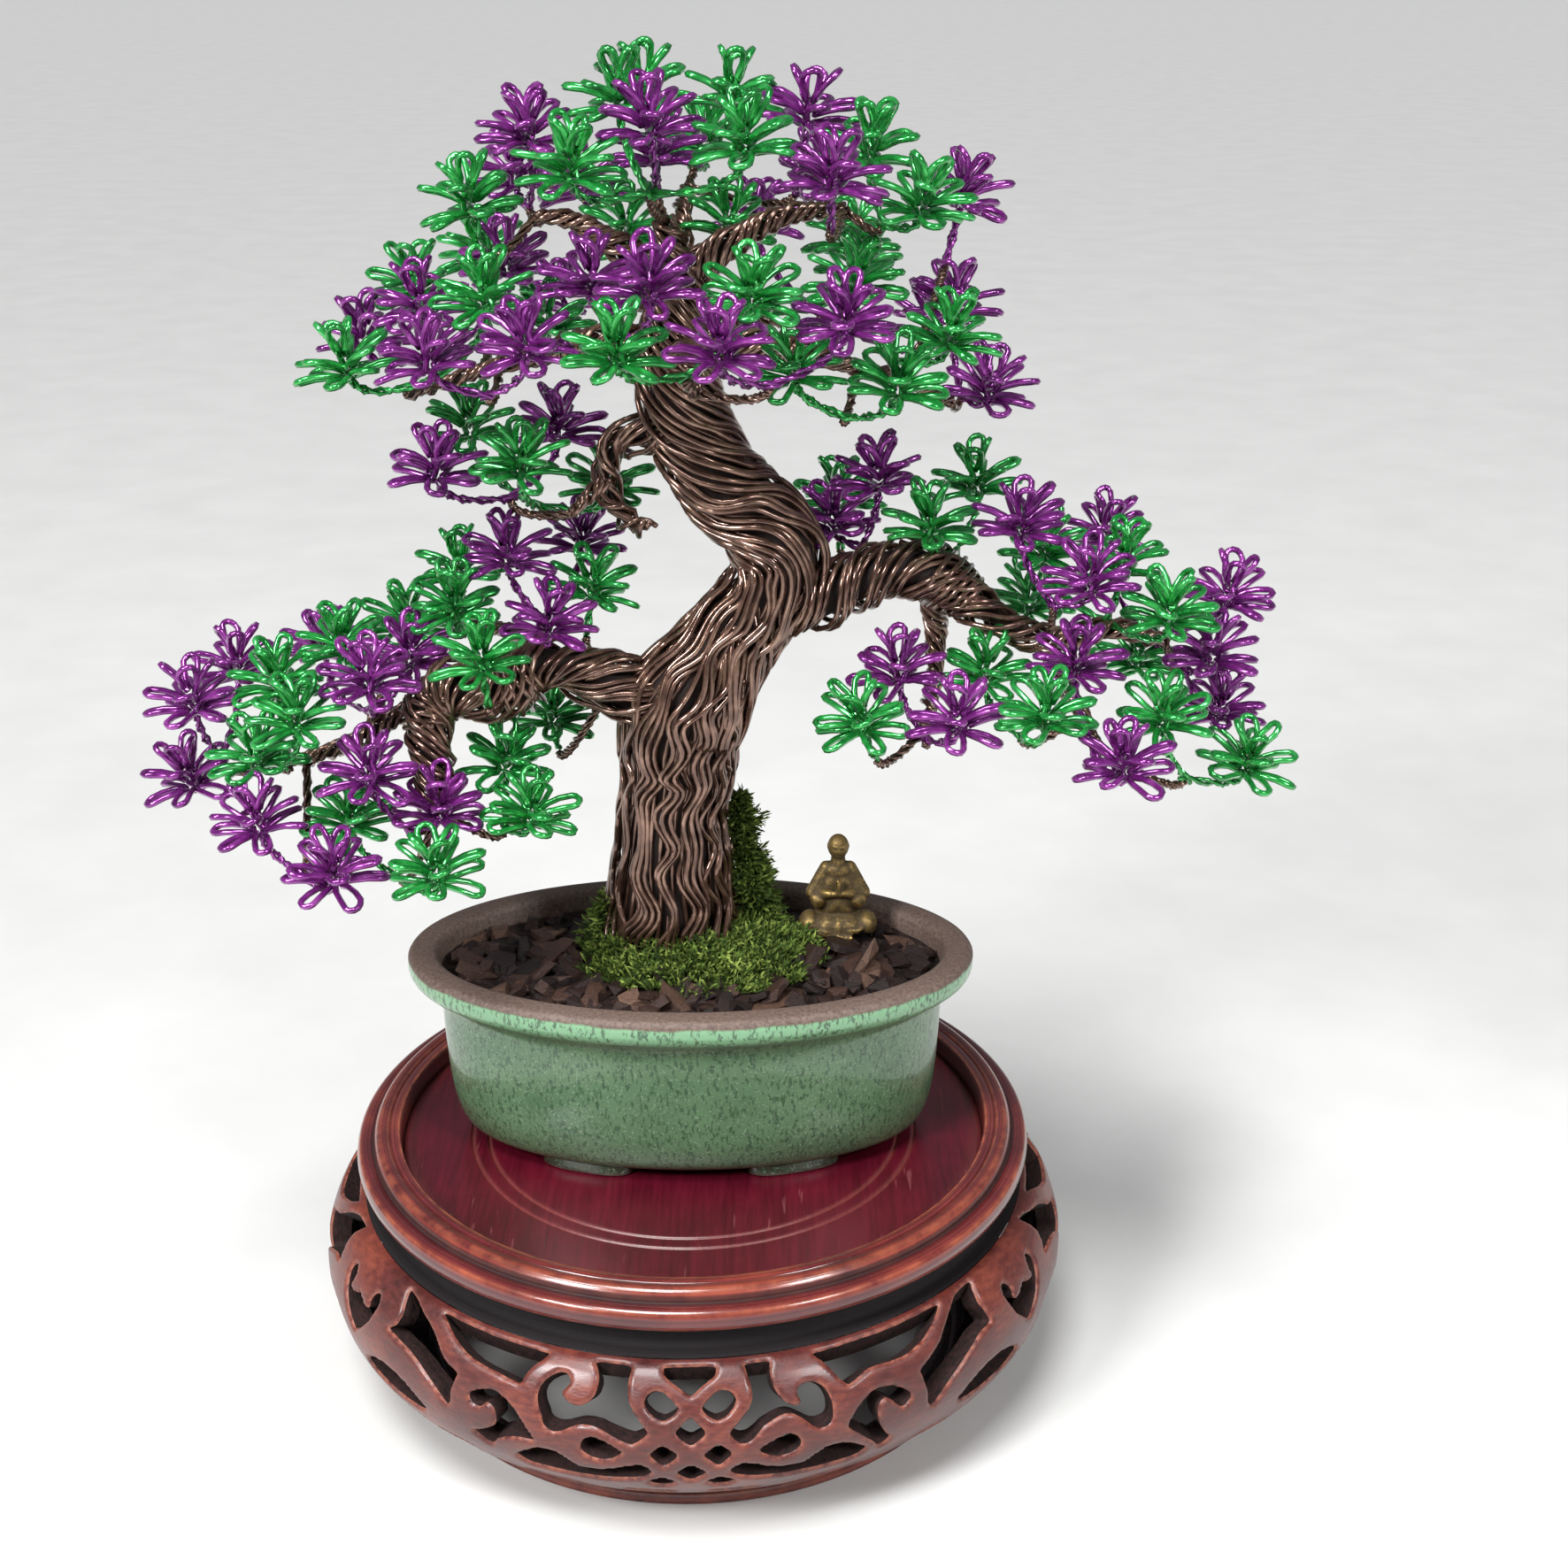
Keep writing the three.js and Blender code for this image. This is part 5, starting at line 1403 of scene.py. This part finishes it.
# Openings of the apron, as [degrees from the knot, millimetres down from the lip]. First come those that are
# alike on both sides of the knot, then those that were carved a little differently on its right and its left,
# then single ones with the degrees of their own middle.
PAIRED_OPENINGS = [
    [(1.5, 9.4), (2.5, 7.8), (3.8, 6.3), (4.9, 6.0), (5.9, 6.7), (6.5, 8.1), (6.1, 9.5), (5, 11.1),
     (3.6, 11.8), (2.3, 10.7)],
    [(3.9, 16.4), (5.8, 19), (3.8, 22.2), (1.6, 19)],
    [(4, 25.2), (6.4, 26.9), (5.2, 28.8), (3.2, 28.8), (1.9, 26.9)],
    [(9.2, 18.8), (10.6, 17.4), (12.2, 16.4), (13.5, 16), (14.6, 16.6), (15.2, 17.8), (15.2, 19.2),
     (14.5, 20.3), (13.4, 21.1), (12, 21.3), (10.6, 20.4)],
    [(5.3, 23.8), (6.2, 22.1), (7.1, 21.6), (8.5, 22.1), (10.4, 23.2), (12.6, 24.1), (14.6, 24.3),
     (16.2, 23.8), (17.4, 22.4), (18.8, 21.1), (20, 20.7), (21.8, 21.2), (23.6, 22.8), (25.6, 25.2),
     (24, 27.4), (18, 27.6), (12, 27.4), (8, 26.4), (6.2, 25.2)],
    [(41.6, 22.6), (43.4, 20.6), (46, 18.9), (50, 18.3), (53, 19.3), (55.6, 21.2), (57, 23.6), (55, 25.2),
     (50, 25.6), (45, 25.2), (42, 24.4)],
    [(56.6, 30.8), (54, 30.6), (50, 34.8), (49, 37.6), (54.4, 38.6), (57, 34.4)],
    [(40.6, 28.6), (35, 28.4), (33, 32), (37.6, 35.4), (42, 32.4)],
    [(26, 31.4), (18.4, 31.6), (14, 34.6), (19, 37.4), (25.4, 35.8)],
    [(9, 31.6), (2.6, 31.6), (2.2, 34.8), (7.6, 36.6), (11, 34.2)],
]
RIGHT_OPENINGS = [
    [(8, 1.4), (8.4, 4), (8.8, 6.6), (8.8, 8.2), (8.1, 10.2), (7, 11.9), (5.3, 14.3), (6, 16), (7, 16.9),
     (8, 16.7), (9, 15.4), (10, 13.7), (11.4, 12.5), (12.8, 11.9), (14, 12), (15, 12.7), (16, 13.9),
     (16.8, 15.2), (17.6, 16), (18.6, 16.3), (19.4, 15.9), (19.9, 14.6), (20, 11.6), (19.7, 9.8),
     (19, 8.2), (18, 7.2), (16.6, 6.8), (15.6, 7.1), (15.1, 7.9), (15.1, 9), (15.6, 9.8), (15.4, 10.7),
     (14.6, 10.7), (13.4, 9.8), (12.4, 8.2), (11.8, 6.2), (11.7, 3.8), (12, 1.4)],
    [(18.4, 1.4), (42.2, 1.4), (40.6, 3.2), (38.6, 4.8), (36.4, 6.2), (34, 7.2), (32, 7.6), (28.6, 7.4),
     (26, 7.4), (24.6, 8.2), (22.8, 9.3), (21.8, 7.8), (20.8, 5.8), (19.8, 3.8)],
    [(22.1, 17.6), (22.4, 16), (23.4, 14.4), (24.6, 13), (26, 11.8), (27.6, 11.5), (29.4, 12),
     (30.8, 13.2), (32, 14.6), (32.3, 15.9), (31.6, 17), (30.6, 17.4), (29.8, 16.2), (28.9, 14.6),
     (28.1, 13.8), (27.3, 14.2), (26.7, 15.6), (26.8, 18), (27.3, 20.2), (28.2, 22.4), (29.3, 24.4),
     (28.6, 26), (27.6, 26.4), (26.6, 24.2), (25, 22), (23.6, 19.8)],
    [(34.3, 11.4), (36.4, 10.2), (38.8, 8.4), (40.6, 6.4), (42.4, 4.6), (44, 3.2), (45.6, 2), (47.6, 1.5),
     (50, 1.4), (49.2, 3.4), (48.8, 6), (49.3, 8.6), (49.8, 10.8), (47, 11.1), (44.6, 12.6), (42, 14.4),
     (40, 16), (38, 18.2), (36.2, 20.8), (35.4, 19.6), (35.2, 16.8), (34.8, 13.6)],
]
LEFT_OPENINGS = [
    [(14.4, 1.4), (13.8, 2.6), (13.3, 4.2), (13.2, 5.8), (13.4, 7.6), (14.2, 9.2), (15.4, 10.2),
     (16.6, 10.3), (17.6, 9.6), (18.4, 8.5), (17.8, 7.5), (17.3, 6.4), (17.5, 5.4), (18.1, 4.7),
     (19, 4.7), (20, 5.4), (21, 6.5), (21.7, 8.1), (21.9, 9.9), (21.6, 11.9), (20.9, 13.6), (20.6, 15.2),
     (19.8, 16.1), (19, 16.4), (17.8, 15.8), (16.6, 14.7), (15.4, 13.8), (14, 13.6), (12.6, 13.9),
     (11, 15.1), (9.4, 16.2), (8, 17), (6.7, 15.6), (5.7, 14.2), (6.6, 12.5), (7.7, 10.6), (8.6, 8.4),
     (8.9, 5.4), (8.6, 1.4)],
    [(21.2, 1.4), (42.2, 1.4), (41, 2.2), (39, 3.8), (37, 5.2), (35, 6.4), (33, 7.2), (30.6, 7.5),
     (28, 8), (26, 8.4), (24.5, 8.7), (24.3, 6.8), (23.6, 5), (22.4, 3.4)],
    [(22, 19.4), (22.6, 18), (23.8, 15.8), (25, 13.8), (26.4, 12.4), (28, 11.5), (29, 11.3), (30, 11.7),
     (31.4, 12.4), (32.5, 13.4), (32.5, 14.6), (31.8, 15.6), (30.6, 15.6), (30, 14.9), (29.8, 14.2),
     (29, 14.2), (28.3, 15), (28, 16.2), (28, 17.6), (28.4, 18.8), (29.4, 20), (31, 21.4), (32.4, 22),
     (31.4, 23.2), (30, 24.4), (29.3, 24.4), (28.4, 22.6), (27, 21.2), (25.6, 20.2), (24, 19.7)],
    [(50.4, 1.5), (49.4, 4.2), (48.7, 6.6), (49.1, 9), (50.6, 10.8), (47.6, 11.1), (45, 11.6),
     (42.6, 12.8), (40, 14.7), (38, 16.8), (36.4, 18.7), (35.9, 17), (35.9, 14.6), (35, 10.9),
     (36.8, 10.3), (38.6, 9.1), (40, 7.3), (41.6, 5.9), (43.6, 4.7), (46, 3.5), (48.2, 2.1)],
]
SINGLE_OPENINGS = [
    (0, [(-4, 1.4), (4, 1.4), (3.7, 3.4), (1.9, 5.2), (0, 7.2), (-1.9, 5.2), (-3.7, 3.4)]),
    (0, [(0, 10.8), (2.3, 14), (0, 17.1), (-2.3, 14)]),
    (0, [(0, 21.2), (2.2, 23.9), (0, 26.8), (-2.2, 23.9)]),
    (60, [(-5.2, 10.2), (-5.6, 8.4), (-5.2, 6.9), (-4.2, 6.6), (-3.4, 7.6), (-3.1, 9.2), (-3.6, 10.4),
          (-2.6, 11.2), (-1.2, 10.6), (0, 9.8), (1.2, 10.6), (2.6, 11.2), (3.6, 10.4), (3.1, 9.2),
          (3.4, 7.6), (4.2, 6.6), (5.2, 6.9), (5.6, 8.4), (5.2, 10.2), (4.4, 12.6), (2.6, 15.6),
          (0, 18.4), (-2.6, 15.6), (-4.4, 12.6)]),
]


def opening_outlines(scale):
    """The openings of a third of the apron, in millimetres across from the knot and down from the lip."""
    placed = [(outline, side, 0) for outline in PAIRED_OPENINGS for side in (1, -1)]
    placed += [(outline, 1, 0) for outline in RIGHT_OPENINGS]
    placed += [(outline, -1, 0) for outline in LEFT_OPENINGS]
    placed += [(outline, 1, centre) for centre, outline in SINGLE_OPENINGS]
    placed += [(outline, 1, -centre) for centre, outline in SINGLE_OPENINGS if centre]
    return [(rounded_outline(outline) * (side, 1) + (centre, 0)) * (scale, 1)
            for outline, side, centre in placed]


def rounded_outline(outline):
    """An outline with each corner cut off a little way along both its sides."""
    outline = np.array(outline, float)
    following = np.roll(outline, -1, 0)
    cut = [0.86 * outline + 0.14 * following, 0.14 * outline + 0.86 * following]
    return np.stack(cut, 1).reshape(-1, 2)


def depth_in_material(across, down, outlines):
    """How far each point lies from the nearest opening, below 0 inside one."""
    far_off = 50.0
    margin = 4.0
    nearest = np.full(across.shape, far_off)
    inside = np.zeros(across.shape, bool)
    for outline in outlines:
        low = outline.min(0) - margin
        high = outline.max(0) + margin
        near = (across > low[0]) & (across < high[0]) & (down > low[1]) & (down < high[1])
        if not near.any():
            continue
        x, y = across[near], down[near]
        closest = np.full(x.shape, far_off)
        crossings = np.zeros(x.shape, int)
        for (ax, ay), (bx, by) in zip(outline, np.roll(outline, -1, 0)):
            dx, dy = bx - ax, by - ay
            t = np.clip(((x - ax) * dx + (y - ay) * dy) / (dx * dx + dy * dy + 1e-12), 0, 1)
            closest = np.minimum(closest, np.hypot(x - ax - t * dx, y - ay - t * dy))
            crosses = (ay > y) != (by > y)
            crossings += crosses & (x < dx * (y - ay) / (dy if dy else 1e-12) + ax)
        inside[near] |= crossings % 2 == 1
        nearest[near] = np.minimum(nearest[near], closest)
    return np.where(inside, -nearest, nearest)


class Shell:
    """The apron's outer face. Its points are counted in rows down the section and columns round the axis."""

    def __init__(self):
        section = smooth_profile(APRON_SECTION, 200)
        along = length_along(section)
        self.down = np.linspace(0, along[-1], APRON_ROWS)
        self.radius, self.height = (np.interp(self.down, along, values) for values in section.T)
        slope = [-np.gradient(self.height, self.down), np.gradient(self.radius, self.down)]
        self.outward = unit(np.stack(slope, 1))

    def points(self, row, column, below=0.0):
        """Points that lie below the outer face by some millimetres."""
        levels = np.arange(APRON_ROWS)
        radius = np.interp(row, levels, self.radius) - below * np.interp(row, levels, self.outward[:, 0])
        height = np.interp(row, levels, self.height) - below * np.interp(row, levels, self.outward[:, 1])
        angle = column * (2 * np.pi / APRON_COLUMNS)
        return np.stack([radius * np.cos(angle), radius * np.sin(angle), height], 1)


def make_apron(lacquer, cut):
    """The bulging pierced apron: a shell whose outline is traced round the openings on a fine grid."""
    shell = Shell()
    degrees = np.arange(APRON_COLUMNS) * 360.0 / APRON_COLUMNS
    from_knot = (degrees - STAND_TURN + 90 + 60) % 120 - 60
    scale = math.radians(1) * APRON_RADIUS
    across, down = np.meshgrid(from_knot * scale, shell.down)
    depth = depth_in_material(across, down, opening_outlines(scale))
    depth += [[0.16 * noise.noise(Vector((column / 5, row / 5, 4.0))) for column in range(APRON_COLUMNS)]
              for row in range(APRON_ROWS)]
    piece = Piece()
    add_faces_and_walls(piece, depth, shell)
    add_edge_bands(piece, shell)
    # The second material is sawn wood darkened with painted shade
    piece.make("carved_apron", [lacquer, cut], ["stand_apron"])


def add_faces_and_walls(piece, depth, shell):
    """The shell's front and back where depth is above 0, and the sawn walls of its openings."""
    spots, faces, walls = traced(depth)
    row, column = spots.T
    edge_depth = depth_at(depth, row, column)
    inward = np.clip(1 - edge_depth / EDGE_ROUNDING, 0, 1)
    drop = EDGE_ROUNDING * (1 - np.sqrt(np.maximum(0.0, 1 - inward ** 2)))
    front = shell.points(row, column, drop)
    back = shell.points(row, column, APRON_THICKNESS)
    piece.add(front, [group[:, ::-1] for group in faces], 0, edge_wear=np.exp(-edge_depth / 0.3))
    # The back face and the walls take the second material, which carries painted shade
    piece.add(back, faces, 1)
    leaving, entering = walls.T
    count = len(spots)
    sides = np.stack([leaving, entering, entering + count, leaving + count], 1)
    piece.add(np.concatenate([front, back]), sides, 1)


def add_edge_bands(piece, shell):
    """The shell's thickness along its lip and along its foot."""
    column = np.arange(APRON_COLUMNS)
    following = (column + 1) % APRON_COLUMNS
    band = np.stack([column, following, following + APRON_COLUMNS, column + APRON_COLUMNS], 1)
    for row, faces in ((0, band), (APRON_ROWS - 1, band[:, ::-1])):
        rows = np.full(APRON_COLUMNS, row)
        edges = [shell.points(rows, column), shell.points(rows, column, APRON_THICKNESS)]
        # The bands take the same material, with its painted shade
        piece.add(np.concatenate(edges), faces, 1)


def traced(depth):
    """Faces of the grid where depth is above 0, cut off where it is 0.

    Gives the [row, column] of each point, the faces grouped by their number of sides, and the pairs of points
    along the cuts.
    """
    rows, columns = depth.shape
    spots = []
    index_of = {}

    def numbered(key, row, column):
        if key not in index_of:
            index_of[key] = len(spots)
            spots.append((row, column))
        return index_of[key]

    def crossing(a, b):
        ends = sorted([(a[0], a[1] % columns), (b[0], b[1] % columns)])
        here = depth[a[0], a[1] % columns]
        share = here / (here - depth[b[0], b[1] % columns])
        return numbered(tuple(ends), a[0] + (b[0] - a[0]) * share, a[1] + (b[1] - a[1]) * share)

    faces = {3: [], 4: [], 5: [], 6: []}
    walls = []
    solid = depth > 0
    for row in range(rows - 1):
        for column in range(columns):
            ring = [(row, column), (row, column + 1), (row + 1, column + 1), (row + 1, column)]
            inside = [solid[r, c % columns] for r, c in ring]
            if not any(inside):
                continue
            polygon = []
            cuts = []
            for k in range(4):
                after = (k + 1) % 4
                if inside[k]:
                    r, c = ring[k][0], ring[k][1] % columns
                    polygon.append(numbered((r, c), r, c))
                if inside[k] != inside[after]:
                    polygon.append(crossing(ring[k], ring[after]))
                    cuts.append((not inside[k], polygon[-1]))
            faces[len(polygon)].append(polygon)
            for k in range(0, len(cuts), 2):
                walls.append([point for _, point in sorted(cuts[k:k + 2])])
    return np.array(spots, float), [np.array(group) for group in faces.values() if group], np.array(walls)


def depth_at(depth, row, column):
    """Depth between the grid's points."""
    rows, columns = depth.shape
    above = np.clip(row.astype(int), 0, rows - 2)
    before = np.floor(column).astype(int)
    down, along = row - above, column - before
    before, after = before % columns, (before + 1) % columns
    upper = depth[above, before] * (1 - along) + depth[above, after] * along
    lower = depth[above + 1, before] * (1 - along) + depth[above + 1, after] * along
    return np.maximum(upper * (1 - down) + lower * down, 0.0)


# Stage

CAMERA_PLACE = (19.2, -392.9, 287.0)
CAMERA_PITCH = 22.2
FOCAL_SHARE = 2400 / 1772
FLOOR_METRES = 20.0
SKY_COLOUR = (0.9, 0.95, 1.0, 1.0)
SKY_STRENGTH = 0.18
SUN_WAY = (0.16, 0.36, -1)
SUN_POWER = 2.8
SUN_DEGREES = 22
LAMPS = [("window", (-500, -550, 650), 8), ("room", (550, -600, 700), 5)]
LAMP_METRES = 0.22
LAMP_AIM = (0, 0, 150)


def make_camera():
    data = bpy.data.cameras.new("camera")
    data.sensor_fit = "HORIZONTAL"
    data.lens = FOCAL_SHARE * data.sensor_width
    data.clip_start = 0.01
    camera = in_scene("camera", data)
    camera.location = Vector(CAMERA_PLACE) * MM + Vector(STAND_AXIS)
    camera.rotation_euler = (math.radians(90 - CAMERA_PITCH), 0, 0)
    bpy.context.scene.camera = camera
    bpy.context.scene.view_settings.view_transform = "Standard"


def make_stage():
    finish = Finish("studio_floor", Roughness=0.85)
    finish.colour(finish.two_tone(finish.grain(40.0), (206, 206, 204), (212, 212, 210)))
    corners = [(x * FLOOR_METRES, y * FLOOR_METRES, 0) for x, y in ((-1, -1), (1, -1), (1, 1), (-1, 1))]
    mesh = bpy.data.meshes.new("floor")
    mesh.from_pydata(corners, [], [(0, 1, 2, 3)])
    mesh.materials.append(finish.material)
    in_scene("floor", mesh)
    world = bpy.data.worlds.new("studio")
    world.use_nodes = True
    sky = world.node_tree.nodes["Background"].inputs
    sky["Color"].default_value = SKY_COLOUR
    sky["Strength"].default_value = SKY_STRENGTH
    bpy.context.scene.world = world


def pointed(way):
    """How a lamp is turned to shine along a direction."""
    return way.to_track_quat("-Z", "Y").to_euler()


def make_lights():
    sun = bpy.data.lights.new("daylight", "SUN")
    sun.energy = SUN_POWER
    sun.angle = math.radians(SUN_DEGREES)
    in_scene("daylight", sun).rotation_euler = pointed(Vector(SUN_WAY))
    for name, place, power in LAMPS:
        data = bpy.data.lights.new(name, "AREA")
        data.size = LAMP_METRES
        data.energy = power
        lamp = in_scene(name, data)
        lamp.location = Vector(place) * MM
        lamp.rotation_euler = pointed(Vector(LAMP_AIM) - Vector(place))


def build():
    wires = {name: enamelled_wire(f"{name}_wire", *enamel) for name, enamel in ENAMELS.items()}
    copper = wires["copper"]
    shaded_core = shaded_bundle_core()
    blooms = eased_apart()
    sprays = planned_sprays(blooms)
    make_trunk(copper, shaded_core)
    make_limbs(copper, shaded_core)
    make_twigs(sprays, copper)
    make_sprays(sprays, wires)
    make_moss(moss_leaf(), moss_ground())
    make_bark_bed(bark_chip(), soil())
    make_figure(aged_brass())
    make_pot(speckled_glaze())
    turned = turned_lacquer()
    make_rim(turned)
    make_base(turned)
    make_panel(crimson_lacquer())
    make_apron(red_lacquer(), shaded_cut_wood())


make_camera()
make_stage()
make_lights()
build()
